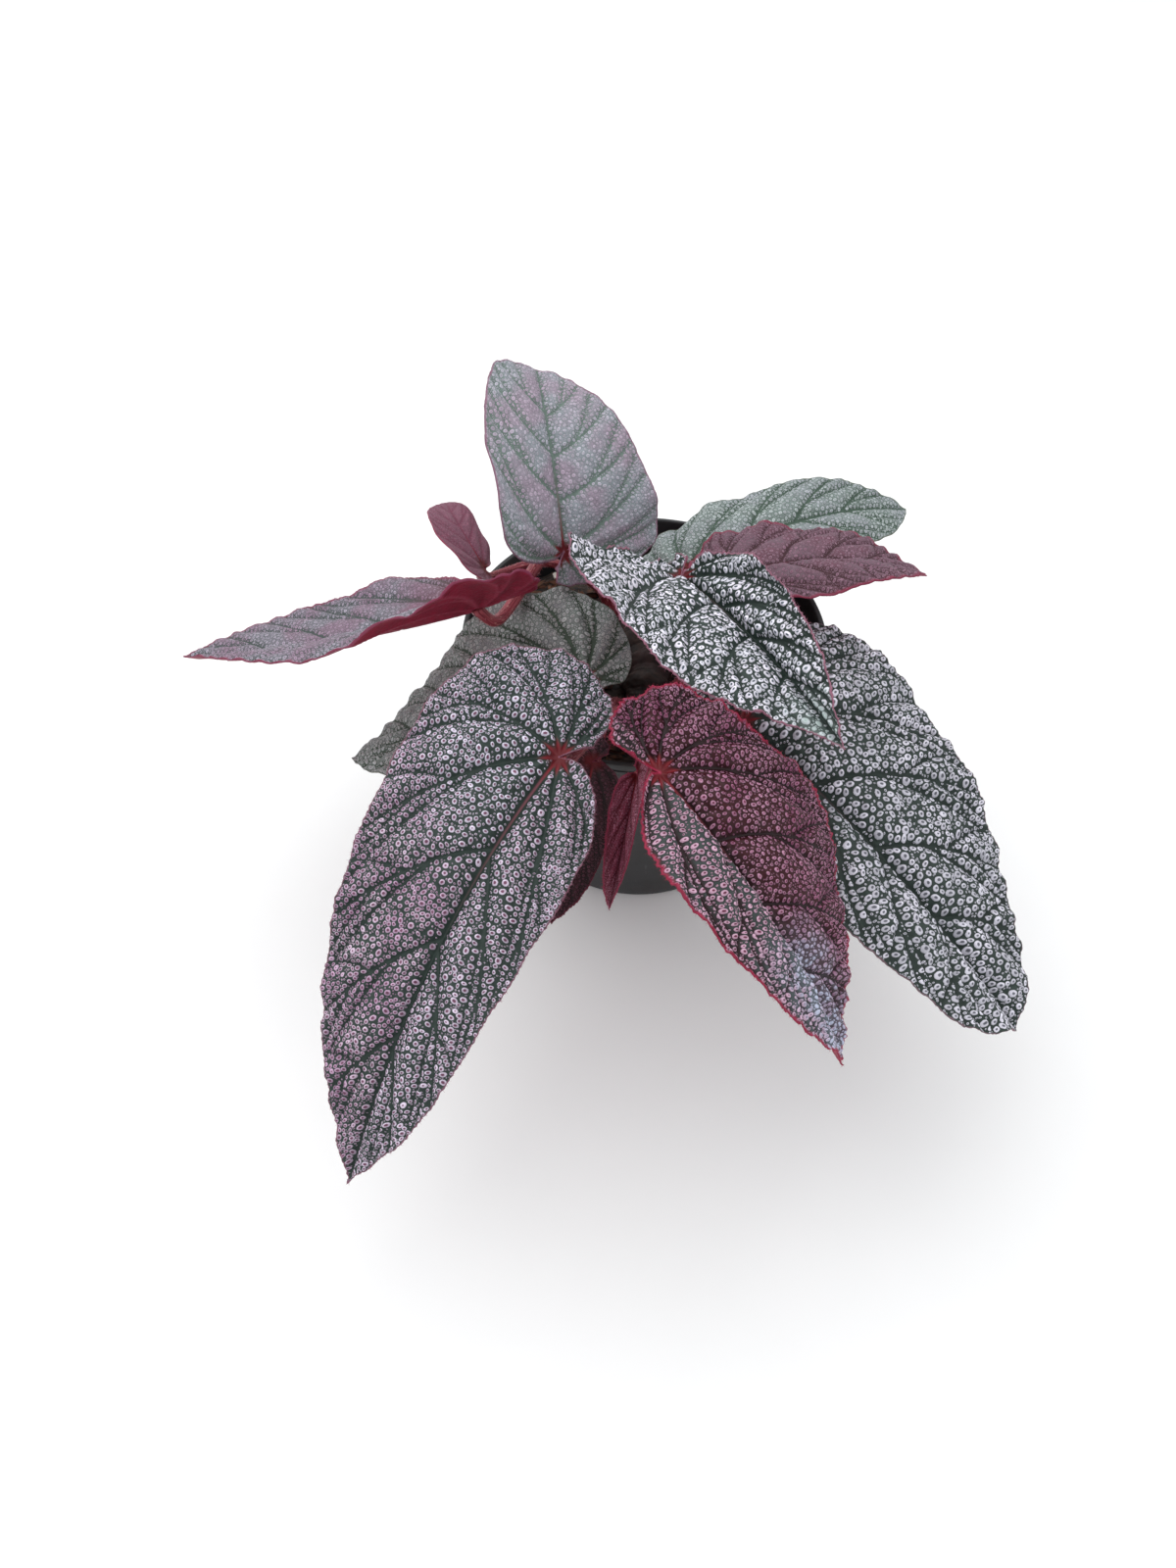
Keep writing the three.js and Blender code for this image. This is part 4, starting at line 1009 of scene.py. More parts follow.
def with_painted_tip_glare(tree, look, facts, panel, colour):
    """Painted reflection towards the tip: a pale bluish glare beside the midrib, painted into the colour
    in streaks about 3 mm wide, stronger on the spots and weaker over the veins."""
    begins, full, middle, half = look["tip"]
    # How strongly the painted glare shows: it grows towards the tip, near the middle line, on the spots.
    glare_share = add(tree, MAP, {0: facts.place[1], 1: begins, 2: full}, **SOFT).outputs[0]
    side = add(tree, MATH, {0: facts.across, 1: middle}, operation="SUBTRACT").outputs[0]
    side = add(tree, MATH, {0: side}, operation="ABSOLUTE").outputs[0]
    streak = add(tree, NOISE, {"Vector": facts.plan, "Scale": 0.3, "Detail": 3.0}).outputs[0]
    for share in (
        add(tree, MAP, {0: side, 1: 3.0, 2: half, 3: 1.0, 4: 0.0}, **SOFT),
        add(tree, MAP, {0: facts.on_spot, 3: 0.16, 4: 0.95}),
        add(tree, MAP, {0: streak, 1: 0.38, 2: 0.58, 3: 0.45, 4: 1.0}, **SOFT),
        add(tree, MAP, {0: panel, 3: 0.3, 4: 1.0}),
    ):
        glare_share = add(tree, MATH, {0: glare_share, 1: share.outputs[0]}, operation="MULTIPLY").outputs[0]
    return add(tree, MIX, {0: glare_share, 6: colour, 7: linear(look["silver"])}, **TINT).outputs[2]


def blister_relief(tree, facts):
    """The blisters again, where the mesh is coarser than they are, and the skin's cells, drawn 0.3 mm
    wide, which is coarser than real ones so that they show."""
    swell = add(tree, MAP, {0: facts.reach, 1: 0.45, 2: 1.05, 3: 1.0, 4: 0.0}, **SOFT).outputs[0]
    dimple = add(tree, MAP, {0: facts.reach, 1: 0.0, 2: 0.5, 3: -0.45, 4: 0.0}, **SOFT).outputs[0]
    height = add(tree, MATH, {0: swell, 1: dimple}, operation="ADD").outputs[0]
    cells = add(tree, "ShaderNodeTexVoronoi", {"Vector": facts.plan, "Scale": 3.3}).outputs["Distance"]
    height = add(tree, MATH, {0: cells, 1: -0.14, 2: height}, operation="MULTIPLY_ADD").outputs[0]
    height = add(tree, MATH, {0: facts.mottle, 1: 0.35, 2: height}, operation="MULTIPLY_ADD").outputs[0]
    return add(tree, "ShaderNodeBump", {
        "Strength": BUMP_STRENGTH, "Distance": BUMP_HEIGHT, "Height": height}).outputs[0]


def leaf_upper_skin(name, look):
    """Waxy upper skin of a rex begonia leaf. Each raised spot is a silvery air-filled blister: a pale
    ring round a darker dimple, on green or maroon ground, with spot-free lanes along the veins."""
    material, tree = new_material("rex_begonia_upper_skin_" + name)
    facts = blade_facts(tree)
    panel = add(tree, MAP, {0: facts.vein[0], 1: 0.0, 2: look.get("soft", 1.0)}, **SOFT).outputs[0]
    colour = add(tree, MIX, {
        0: facts.on_spot, 6: ground_colour(tree, look, facts, panel),
        7: spot_colour(tree, look, facts)}, **TINT).outputs[2]
    colour = with_reds(tree, look, facts, colour)
    # A painted reflection: a pale glare painted into the colour towards the tip.
    if "tip" in look:
        colour = with_painted_tip_glare(tree, look, facts, panel, colour)
    spot_gloss = add(tree, MAP, {0: facts.on_spot, 3: look["gloss"] + 0.12, 4: look["gloss"]}).outputs[0]
    gloss = add(tree, MATH, {0: facts.mottle, 1: 0.12, 2: spot_gloss}, operation="MULTIPLY_ADD").outputs[0]
    finish_surface(tree, {
        "Base Color": colour, "Roughness": gloss, "Normal": blister_relief(tree, facts), "IOR": 1.45,
        "Specular IOR Level": look.get("shine", 0.42),
    })
    return material


def leaf_under_skin(name, look):
    """Matt, wine-red underside, paler and pinker on its raised veins, with short down between them.
    Its mottling is 3 mm wide, and its cells are drawn 0.9 mm wide so that they show."""
    material, tree = new_material("rex_begonia_underside_" + name)
    vein = add(tree, "ShaderNodeAttribute", attribute_name="vein").outputs["Vector"]
    plan = add(tree, "ShaderNodeAttribute", attribute_name="plan").outputs["Vector"]
    vein = add(tree, "ShaderNodeSeparateXYZ", {0: vein}).outputs
    mottle = add(tree, NOISE, {"Vector": plan, "Scale": 0.35, "Detail": 5.0, "Roughness": 0.6}).outputs[0]
    shade = add(tree, MAP, {0: mottle, 1: 0.3, 2: 0.7, 3: 0.72, 4: 1.25}).outputs[0]
    colour = add(tree, MIX, {0: 1.0, 6: linear(look["under"]), 7: shade}, blend_type="MULTIPLY",
                 **TINT).outputs[2]
    rib = add(tree, MAP, {0: vein[0], 1: 0.2, 2: 0.9, 3: 0.45, 4: 0.0}, **SOFT).outputs[0]
    colour = add(tree, MIX, {0: rib, 6: colour, 7: linear("#96384e")}, **TINT).outputs[2]
    rim = add(tree, MAP, {0: vein[2], 1: 0.1, 2: 0.9, 3: 1.0, 4: 0.0}, **SOFT).outputs[0]
    colour = add(tree, MIX, {0: rim, 6: colour, 7: linear(look["margin"])}, **TINT).outputs[2]
    cells = add(tree, "ShaderNodeTexVoronoi", {"Vector": plan, "Scale": 1.1}).outputs["Distance"]
    height = add(tree, MATH, {0: cells, 1: 0.7, 2: mottle}, operation="MULTIPLY_ADD").outputs[0]
    bump = add(tree, "ShaderNodeBump", {"Strength": 0.6, "Distance": 0.0003, "Height": height}).outputs[0]
    gloss = add(tree, MAP, {0: mottle, 1: 0.3, 2: 0.7, 3: 0.48, 4: 0.66}).outputs[0]
    finish_surface(tree, {
        "Base Color": colour, "Roughness": gloss, "Normal": bump, "IOR": 1.45,
        "Specular IOR Level": 0.4, "Sheen Weight": 0.1, "Sheen Roughness": 0.4,
        "Sheen Tint": linear("#c0506a"),
    })
    return material


def stalk_skin():
    """Juicy translucent-looking stalk: crimson skin with paler streaks along it, like rhubarb. The
    streaks are 0.6 mm wide and 6 mm long, the flecks 1.2 mm wide and 3 mm long."""
    material, tree = new_material("begonia_stalk_skin")
    where = add(tree, "ShaderNodeAttribute", attribute_name="along").outputs["Vector"]
    streak_map = add(tree, "ShaderNodeMapping", {"Vector": where, "Scale": (1.6, 1.6, 0.16)}).outputs[0]
    streaks = add(tree, NOISE, {"Vector": streak_map, "Scale": 1.0, "Detail": 5.0}).outputs[0]
    part = add(tree, MAP, {0: streaks, 1: 0.36, 2: 0.66}, **SOFT).outputs[0]
    colour = add(tree, MIX, {0: part, 6: linear("#6c1a28"), 7: linear("#a34c54")}, **TINT).outputs[2]
    fleck_map = add(tree, "ShaderNodeMapping", {"Vector": where, "Scale": (0.8, 0.8, 0.34)}).outputs[0]
    flecks = add(tree, "ShaderNodeTexVoronoi", {"Vector": fleck_map, "Scale": 1.0}).outputs["Distance"]
    fleck = add(tree, MAP, {0: flecks, 1: 0.14, 2: 0.26, 3: 0.7, 4: 0.0}, **SOFT).outputs[0]
    colour = add(tree, MIX, {0: fleck, 6: colour, 7: linear("#cf9a90")}, **TINT).outputs[2]
    height = add(tree, MATH, {0: fleck, 1: 0.6, 2: streaks}, operation="MULTIPLY_ADD").outputs[0]
    bump = add(tree, "ShaderNodeBump", {"Strength": 0.5, "Distance": 0.0002, "Height": height}).outputs[0]
    gloss = add(tree, MAP, {0: streaks, 1: 0.3, 2: 0.7, 3: 0.34, 4: 0.5}).outputs[0]
    finish_surface(tree, {"Base Color": colour, "Roughness": gloss, "Normal": bump, "IOR": 1.4,
                          "Subsurface Weight": 0.12, "Subsurface Radius": (0.003, 0.0008, 0.0006)})
    return material


def hair_skin(name, code):
    """Soft plant hair, a single file of clear cells with coloured sap, varied every millimetre."""
    material, tree = new_material("plant_hair_" + name)
    where = add(tree, "ShaderNodeTexCoord").outputs["Object"]
    vary = add(tree, NOISE, {"Vector": where, "Scale": 900.0}).outputs[0]
    shade = add(tree, MAP, {0: vary, 1: 0.3, 2: 0.7, 3: 0.7, 4: 1.35}).outputs[0]
    colour = add(tree, MIX, {0: 1.0, 6: linear(code), 7: shade}, blend_type="MULTIPLY", **TINT).outputs[2]
    finish_surface(tree, {"Base Color": colour, "Roughness": 0.38, "IOR": 1.4,
                          "Sheen Weight": 0.3, "Sheen Roughness": 0.4})
    return material


def rhizome_bark_painted_shade():
    """Creeping stem: cork in 4 mm plates, brown, with dull red patches 17 mm wide. Its browns and reds
    are darkened to about half of the cork's own, as painted shade for the plant's shaded middle.
    """
    material, tree = new_material("begonia_rhizome_cork_painted_shade")
    where = add(tree, "ShaderNodeTexCoord").outputs["Object"]
    rough = add(tree, NOISE, {"Vector": where, "Scale": 260.0, "Detail": 8.0, "Roughness": 0.65}).outputs[0]
    part = add(tree, MAP, {0: rough, 1: 0.34, 2: 0.66}, **SOFT).outputs[0]
    # Painted shade: these browns, and the red of the patches below, are darkened to about half.
    colour = add(tree, MIX, {0: part, 6: linear("#17100d"), 7: linear("#36241d")}, **TINT).outputs[2]
    large = add(tree, NOISE, {"Vector": where, "Scale": 60.0, "Detail": 2.0}).outputs[0]
    ruddy = add(tree, MAP, {0: large, 1: 0.5, 2: 0.68, 3: 0.0, 4: 0.5}, **SOFT).outputs[0]
    colour = add(tree, MIX, {0: ruddy, 6: colour, 7: linear("#33191b")}, **TINT).outputs[2]
    bump = add(tree, "ShaderNodeBump", {"Strength": 0.8, "Distance": 0.0005, "Height": rough}).outputs[0]
    finish_surface(tree, {"Base Color": colour, "Roughness": 0.72, "Normal": bump, "IOR": 1.45})
    return material


def peat_mix():
    """Damp peat potting mix: near-black crumbs 2.4 mm wide, with brown fibres 1 mm wide and 9 mm long."""
    material, tree = new_material("peat_potting_mix")
    where = add(tree, "ShaderNodeTexCoord").outputs["Object"]
    crumbs = add(tree, "ShaderNodeTexVoronoi", {"Vector": where, "Scale": 420.0}).outputs
    rough = add(tree, NOISE, {"Vector": where, "Scale": 300.0, "Detail": 8.0, "Roughness": 0.7}).outputs[0]
    tone = add(tree, "ShaderNodeSeparateColor", {0: crumbs["Color"]}).outputs[0]
    colour = add(tree, MIX, {0: tone, 6: linear("#15100d"), 7: linear("#3a2a20")}, **TINT).outputs[2]
    fibre_map = add(tree, "ShaderNodeMapping", {"Vector": where, "Rotation": (0.3, 0.2, 0.7),
                                               "Scale": (1, 0.12, 1)}).outputs[0]
    fibres = add(tree, NOISE, {"Vector": fibre_map, "Scale": 900.0, "Detail": 2.0}).outputs[0]
    fibre = add(tree, MAP, {0: fibres, 1: 0.63, 2: 0.7, 3: 0.0, 4: 0.7}, **SOFT).outputs[0]
    colour = add(tree, MIX, {0: fibre, 6: colour, 7: linear("#6b4a32")}, **TINT).outputs[2]
    pits = crumbs["Distance"]
    height = add(tree, MATH, {0: pits, 1: -0.8, 2: rough}, operation="MULTIPLY_ADD").outputs[0]
    bump = add(tree, "ShaderNodeBump", {"Strength": 1.0, "Distance": 0.0009, "Height": height}).outputs[0]
    gloss = add(tree, MAP, {0: rough, 1: 0.35, 2: 0.65, 3: 0.6, 4: 0.95}).outputs[0]
    finish_surface(tree, {"Base Color": colour, "Roughness": gloss, "Normal": bump})
    return material


def bark_chip_wood():
    """Chipped pine bark: red-brown layers 0.8 mm thick, with dark edges."""
    material, tree = new_material("pine_bark_chip")
    where = add(tree, "ShaderNodeTexCoord").outputs["Object"]
    layer_map = add(tree, "ShaderNodeMapping", {"Vector": where, "Scale": (1, 1, 4)}).outputs[0]
    layers = add(tree, NOISE, {"Vector": layer_map, "Scale": 320.0, "Detail": 6.0}).outputs[0]
    part = add(tree, MAP, {0: layers, 1: 0.38, 2: 0.64}, **SOFT).outputs[0]
    colour = add(tree, MIX, {0: part, 6: linear("#241610"), 7: linear("#66412c")}, **TINT).outputs[2]
    bump = add(tree, "ShaderNodeBump", {"Strength": 0.8, "Distance": 0.0004, "Height": layers}).outputs[0]
    finish_surface(tree, {"Base Color": colour, "Roughness": 0.82, "Normal": bump})
    return material


def perlite_glass():
    """Perlite: puffed volcanic glass, off-white, with 0.4 mm pits, stained by the peat in 2 mm spots."""
    material, tree = new_material("perlite_grain")
    where = add(tree, "ShaderNodeTexCoord").outputs["Object"]
    pits = add(tree, "ShaderNodeTexVoronoi", {"Vector": where, "Scale": 2600.0}).outputs["Distance"]
    stain = add(tree, NOISE, {"Vector": where, "Scale": 500.0, "Detail": 3.0}).outputs[0]
    part = add(tree, MAP, {0: stain, 1: 0.42, 2: 0.66}, **SOFT).outputs[0]
    colour = add(tree, MIX, {0: part, 6: linear("#d6d2c8"), 7: linear("#8a7f70")}, **TINT).outputs[2]
    bump = add(tree, "ShaderNodeBump", {"Strength": 0.7, "Distance": 0.0003, "Height": pits}).outputs[0]
    finish_surface(tree, {"Base Color": colour, "Roughness": 0.88, "Normal": bump})
    return material


def moulded_polypropylene():
    """Thin injection-moulded nursery pot, black with a soft satin face: a moulded grain of 0.4 mm, scuffs
    1.4 mm wide and 24 mm long, and a little peat dust in clouds 30 mm wide."""
    material, tree = new_material("moulded_black_polypropylene")
    where = add(tree, "ShaderNodeTexCoord").outputs["Object"]
    grain = add(tree, NOISE, {"Vector": where, "Scale": 2600.0, "Detail": 2.0}).outputs[0]
    cloud = add(tree, NOISE, {"Vector": where, "Scale": 34.0, "Detail": 6.0, "Roughness": 0.6}).outputs[0]
    scuff_map = add(tree, "ShaderNodeMapping", {"Vector": where, "Rotation": (0.5, 0.3, 0.2),
                                               "Scale": (1, 1, 0.06)}).outputs[0]
    scuffs = add(tree, NOISE, {"Vector": scuff_map, "Scale": 700.0, "Detail": 2.0}).outputs[0]
    scuff = add(tree, MAP, {0: scuffs, 1: 0.66, 2: 0.74, 3: 0.0, 4: 0.5}, **SOFT).outputs[0]
    dusty = add(tree, MAP, {0: cloud, 1: 0.45, 2: 0.75, 3: 0.0, 4: 0.55}, **SOFT).outputs[0]
    colour = add(tree, MIX, {0: dusty, 6: linear("#17181a"), 7: linear("#35312d")}, **TINT).outputs[2]
    colour = add(tree, MIX, {0: scuff, 6: colour, 7: linear("#4a4b4d")}, **TINT).outputs[2]
    gloss = add(tree, MATH, {0: dusty, 1: 0.4, 2: 0.4}, operation="MULTIPLY_ADD").outputs[0]
    height = add(tree, MATH, {0: scuff, 1: -0.6, 2: grain}, operation="MULTIPLY_ADD").outputs[0]
    bump = add(tree, "ShaderNodeBump", {"Strength": 0.35, "Distance": 0.0001, "Height": height}).outputs[0]
    finish_surface(tree, {"Base Color": colour, "Roughness": gloss, "Normal": bump, "IOR": 1.49})
    return material


def studio_floor_paper():
    """Plain matt white paper that the plant stands on."""
    material, tree = new_material("matt_white_paper")
    where = add(tree, "ShaderNodeTexCoord").outputs["Object"]
    tooth = add(tree, NOISE, {"Vector": where, "Scale": 60.0, "Detail": 2.0}).outputs[0]
    tone = add(tree, MIX, {0: tooth, 6: linear("#f8f8f6"), 7: linear("#fafaf8")}, **TINT).outputs[2]
    finish_surface(tree, {"Base Color": tone, "Roughness": 0.9})
    return material


# ---- tubes -------------------------------------------------------------------------------------


def centripetal(points, count):
    """Even points along the smooth curve through a few places, as the solids' curves run."""
    knots = [np.array(p, float) for p in points]
    knots = [2 * knots[0] - knots[1]] + knots + [2 * knots[-1] - knots[-2]]
    fine = []
    for k in range(1, len(knots) - 2):
        x0, x1, x2, x3 = knots[k - 1:k + 3]
        spans = [((b - a) @ (b - a)) ** 0.25 for a, b in ((x0, x1), (x1, x2), (x2, x3))]
        d0, d1, d2 = spans
        leaving = ((x1 - x0) / d0 - (x2 - x0) / (d0 + d1) + (x2 - x1) / d1) * d1
        arriving = ((x2 - x1) / d1 - (x3 - x1) / (d1 + d2) + (x3 - x2) / d2) * d1
        part = np.linspace(0, 1, 80, endpoint=k == len(knots) - 3)[:, None]
        square = -3 * x1 + 3 * x2 - 2 * leaving - arriving
        cubic = 2 * x1 - 2 * x2 + leaving + arriving
        fine.append(x1 + leaving * part + square * part ** 2 + cubic * part ** 3)
    fine = np.vstack(fine)
    lengths = np.concatenate([[0], np.cumsum(np.linalg.norm(np.diff(fine, axis=0), axis=1))])
    at = np.linspace(0, lengths[-1], count)
    return np.stack([np.interp(at, lengths, fine[:, k]) for k in range(3)], 1), at


def carried_frames(path):
    """Two directions across each step of a path, which turn as little as they can."""
    along = np.gradient(path, axis=0)
    along /= np.linalg.norm(along, axis=1)[:, None]
    first = np.cross(along[0], (0.3, 1, 0.1))
    sides = [first / np.linalg.norm(first)]
    for tangent in along[1:]:
        side = sides[-1] - tangent * (sides[-1] @ tangent)
        sides.append(side / np.linalg.norm(side))
    sides = np.array(sides)
    return sides, np.cross(along, sides)


def spokes(count):
    """The angles of evenly spaced spokes."""
    return np.arange(count) * 2 * math.pi / count


def tube_faces(rings, count):
    """Triangles of a closed tube, whose points are its rings and then the middles of its two ends."""
    start = np.arange(rings - 1)[:, None] * count
    i = np.arange(count)[None]
    j = (i + 1) % count
    a, b = start + i, start + j
    last, ends = (rings - 1) * count, rings * count
    return np.vstack([
        np.stack([a, b, b + count], -1).reshape(-1, 3),
        np.stack([a, b + count, a + count], -1).reshape(-1, 3),
        np.stack([np.full(count, ends), j[0], i[0]], 1),
        np.stack([np.full(count, ends + 1), last + i[0], last + j[0]], 1),
    ])


def swept(path, radii):
    """A closed tube as points and triangles. radii has a row for each point of the path."""
    side, other = carried_frames(path)
    rings, count = radii.shape
    turn = spokes(count)
    points = path[:, None] + radii[..., None] * (
        side[:, None] * np.cos(turn)[None, :, None] + other[:, None] * np.sin(turn)[None, :, None])
    return np.vstack([points.reshape(-1, 3), path[:1], path[-1:]]), tube_faces(rings, count)


# ---- stalks ------------------------------------------------------------------------------------

INTO_BLADE = 0.45  # how far a stalk runs on past its solid, into the blade
FOOT_SWELL = (0.22, 3.5)  # how much thicker it is at the soil, and over what length
TOP_SWELL = (0.16, 2.4)  # and under the blade
RIB_COUNT = 5
RIB_HEIGHT = 0.035
RIB_TURN = 0.8


def stalk_path(leaf):
    """The line that a leaf's stalk follows, on into the blade, and how far along each point lies."""
    place, _, up = blend_frames(leaf, np.zeros(1))
    place, up = place[0], up[0]
    top = place - up * (BLADE_THICKNESS / 2 + GAP)
    x, y = leaf["foot"]
    via = np.array(leaf["via"], float)
    arrival = (top - via) / np.linalg.norm(top - via) + up
    arrival /= np.linalg.norm(arrival)
    knots = [(x, y, SOIL_TOP - PETIOLE_DEPTH), (x, y, SOIL_TOP + PETIOLE_COLLAR), via,
             top - arrival * PETIOLE_HOOK, top]
    path, at = centripetal(knots, 70)
    return np.vstack([path, top + up * INTO_BLADE]), np.append(at, at[-1] + INTO_BLADE)


def build_stalk(leaf, skin):
    """A stalk: thick and softly ribbed at its foot, swelling a little under the blade. With it come
    its rings of points and how far along it each one lies."""
    chance = np.random.default_rng(SEED + 7 * sum(map(ord, leaf["name"])))
    path, at = stalk_path(leaf)
    count = 24
    share = at / at[-1]
    slimmer = (PETIOLE_BASE_RADIUS - PETIOLE_TOP_RADIUS) * share ** PETIOLE_TAPER
    radius = (PETIOLE_BASE_RADIUS - slimmer) * (SMALL_PETIOLE if leaf.get("small") else 1)
    foot_swell = FOOT_SWELL[0] * np.exp(-((at - PETIOLE_DEPTH) / FOOT_SWELL[1]) ** 2)
    top_swell = TOP_SWELL[0] * np.exp(-((at[-1] - at) / TOP_SWELL[1]) ** 2)
    radius = radius * (1 + foot_swell + top_swell)
    ribs = 1 + RIB_HEIGHT * np.sin(RIB_COUNT * spokes(count)[None] + RIB_TURN * share[:, None])
    ribs = ribs + chance.normal(0, 0.006, (len(at), count))
    points, triangles = swept(path, radius[:, None] * ribs)
    # The skin's pattern follows the stalk: 4 mm out across it, and its length along it, shifted so
    # that no two stalks have the same streaks.
    turn = np.tile(spokes(count), len(at))
    length = np.repeat(at, count) + 31 * len(leaf["name"])
    along = np.zeros((len(points), 3))
    along[:-2] = np.column_stack([4 * np.cos(turn), 4 * np.sin(turn), length])
    along[-2:, 2] = along[0, 2], along[-3, 2]
    made = make_mesh("stalk_" + leaf["name"], points, triangles, point={"along": along}, materials=[skin])
    return made, points[:-2].reshape(len(at), count, 3), at


# ---- small things that repeat ------------------------------------------------------------------


def scatter_tree(name, shape, material, sizes):
    """A tree that puts a small shape on each point, pointed along its "grow" and scaled by its "size"."""
    tree = bpy.data.node_groups.new(name, "GeometryNodeTree")
    tree.interface.new_socket("Geometry", in_out="INPUT", socket_type="NodeSocketGeometry")
    for label, value in sizes.items():
        made = tree.interface.new_socket(label, in_out="INPUT", socket_type="NodeSocketFloat")
        made.default_value = value
    tree.interface.new_socket("Geometry", in_out="OUTPUT", socket_type="NodeSocketGeometry")
    given = add(tree, "NodeGroupInput").outputs
    grow, size = [add(tree, "GeometryNodeInputNamedAttribute", {"Name": key},
                      data_type="FLOAT_VECTOR").outputs[0] for key in ("grow", "size")]
    turn = add(tree, "FunctionNodeAlignRotationToVector", {"Vector": grow}, axis="Z").outputs[0]
    small = shape(tree, given)
    on_points = add(tree, "GeometryNodeInstanceOnPoints", {
        "Points": given["Geometry"], "Instance": small, "Rotation": turn, "Scale": size}).outputs[0]
    real = add(tree, "GeometryNodeRealizeInstances", {0: on_points}).outputs[0]
    dressed = add(tree, "GeometryNodeSetMaterial", {"Geometry": real, "Material": material}).outputs[0]
    add(tree, "NodeGroupOutput", {"Geometry": dressed})
    return tree


def hair_shape(tree, given):
    """A thin three-sided cone, one unit tall."""
    return add(tree, "GeometryNodeMeshCone", {
        "Vertices": 3, "Radius Top": 0.0, "Radius Bottom": given["Root Radius"], "Depth": 1.0}).outputs[0]


def ragged(tree, shape, given):
    """A shape with its points pushed about by noise as coarse as the tree's Raggedness."""
    where = add(tree, "GeometryNodeInputPosition").outputs[0]
    shake = add(tree, NOISE, {"Vector": where, "Scale": given["Raggedness"]}).outputs[1]
    push = add(tree, "ShaderNodeVectorMath", {0: shake, 1: (0.5, 0.5, 0.5)}, operation="SUBTRACT")
    return add(tree, "GeometryNodeSetPosition", {"Geometry": shape, "Offset": push.outputs[0]}).outputs[0]


def chip_shape(tree, given):
    """A squarish flake of bark with its corners knocked off."""
    box = add(tree, "GeometryNodeMeshCube", {"Size": (1, 1, 1)}).outputs[0]
    split = add(tree, "GeometryNodeSubdivideMesh", {"Mesh": box, "Level": 1}).outputs[0]
    return ragged(tree, split, given)


def grain_shape(tree, given):
    """A rounded, pitted grain."""
    ball = add(tree, "GeometryNodeMeshIcoSphere", {"Radius": 0.5, "Subdivisions": 2}).outputs[0]
    return ragged(tree, ball, given)


def scatter(name, tree, places, grow, size):
    """The tree's result on the given points, in millimetres, as one plain mesh."""
    mesh = bpy.data.meshes.new(name + "_points")
    mesh.from_pydata((np.asarray(places) * MM).tolist(), [], [])
    for key, values in (("grow", grow), ("size", size)):
        made = mesh.attributes.new(key, "FLOAT_VECTOR", "POINT")
        made.data.foreach_set("vector", np.asarray(values, np.float32).ravel())
    seed = bpy.data.objects.new(name + "_points", mesh)
    bpy.context.scene.collection.objects.link(seed)
    modifier = seed.modifiers.new("scatter", "NODES")
    modifier.node_group = tree
    for socket in tree.interface.items_tree:
        if socket.in_out == "INPUT" and socket.socket_type == "NodeSocketFloat":
            modifier[socket.identifier] = socket.default_value
    graph = bpy.context.evaluated_depsgraph_get()
    result = bpy.data.meshes.new_from_object(seed.evaluated_get(graph))
    result.name = name
    bpy.data.objects.remove(seed)
    piece = bpy.data.objects.new(name, result)
    bpy.context.scene.collection.objects.link(piece)
    return piece


MARGIN_HAIR_RADIUS = 0.048
STALK_HAIR_RADIUS = 0.055
MARGIN_HAIR_LENGTHS = (0.35, 1.15)  # shares of the leaf's own length of hair
STALK_HAIR_LENGTHS = (0.5, 1.5)
SMALL_HAIRS = 0.7  # how much shorter they are on a small leaf's stalk
HAIRS_A_RING = 8  # for each ring of a stalk's points
NOTCH_REACH = 0.07  # no hairs this near the stalk, as a share of the blade's length


def margin_hairs(leaf, look, edge, middle, chance):
    """Where hairs stand along a blade's margin, which way they grow and how long they are. edge is the
    margin as flat points, and middle the same on the plant."""
    along = np.roll(edge, -1, axis=0) - np.roll(edge, 1, axis=0)
    along /= np.hypot(*along.T)[:, None]
    outward = np.stack([along[:, 1], -along[:, 0]], 1)
    ahead = lift(leaf, edge + outward * 0.5, np.zeros(len(edge)))[0]
    here, normal = lift(leaf, edge, np.zeros(len(edge)))
    away = (ahead - here) / np.linalg.norm(ahead - here, axis=1)[:, None]
    free = np.hypot(*edge.T) > leaf["length"] * NOTCH_REACH
    count = int(free.sum() * look["hair_crowd"])
    pick = chance.choice(np.flatnonzero(free), count)
    slide = chance.uniform(0, 1, count)[:, None]
    places = middle[pick] * (1 - slide) + middle[(pick + 1) % len(edge)] * slide
    grow = away[pick] + normal[pick] * chance.normal(0.1, 0.35, (count, 1))
    grow = grow + chance.normal(0, 0.25, (count, 3))
    tall = look["hairs"] * chance.uniform(*MARGIN_HAIR_LENGTHS, count)
    thick = chance.uniform(0.7, 1.2, count)
    return places, grow, np.stack([thick, thick, tall], 1) * MM


def stalk_hairs(leaf, rings, at, chance):
    """Down along the part of a stalk that is above the soil, rooted just under its skin."""
    above = np.flatnonzero((at > PETIOLE_DEPTH + 1) & (at < at[-1] - 1))
    count = len(above) * HAIRS_A_RING
    ring = chance.choice(above[:-1], count)
    spoke = chance.integers(0, rings.shape[1], count)
    slide = chance.uniform(0, 1, count)[:, None]
    places = rings[ring, spoke] * (1 - slide) + rings[ring + 1, spoke] * slide
    centre = rings[ring].mean(1) * (1 - slide) + rings[ring + 1].mean(1) * slide
    away = (places - centre) / np.linalg.norm(places - centre, axis=1)[:, None]
    grow = away + chance.normal(0, 0.35, (count, 3))
    tall = chance.uniform(*STALK_HAIR_LENGTHS, count) * (SMALL_HAIRS if leaf.get("small") else 1)
    return places - away * 0.08, grow, np.stack([np.ones(count), np.ones(count), tall], 1) * MM


# ---- rhizome, soil and pot -----------------------------------------------------------------------


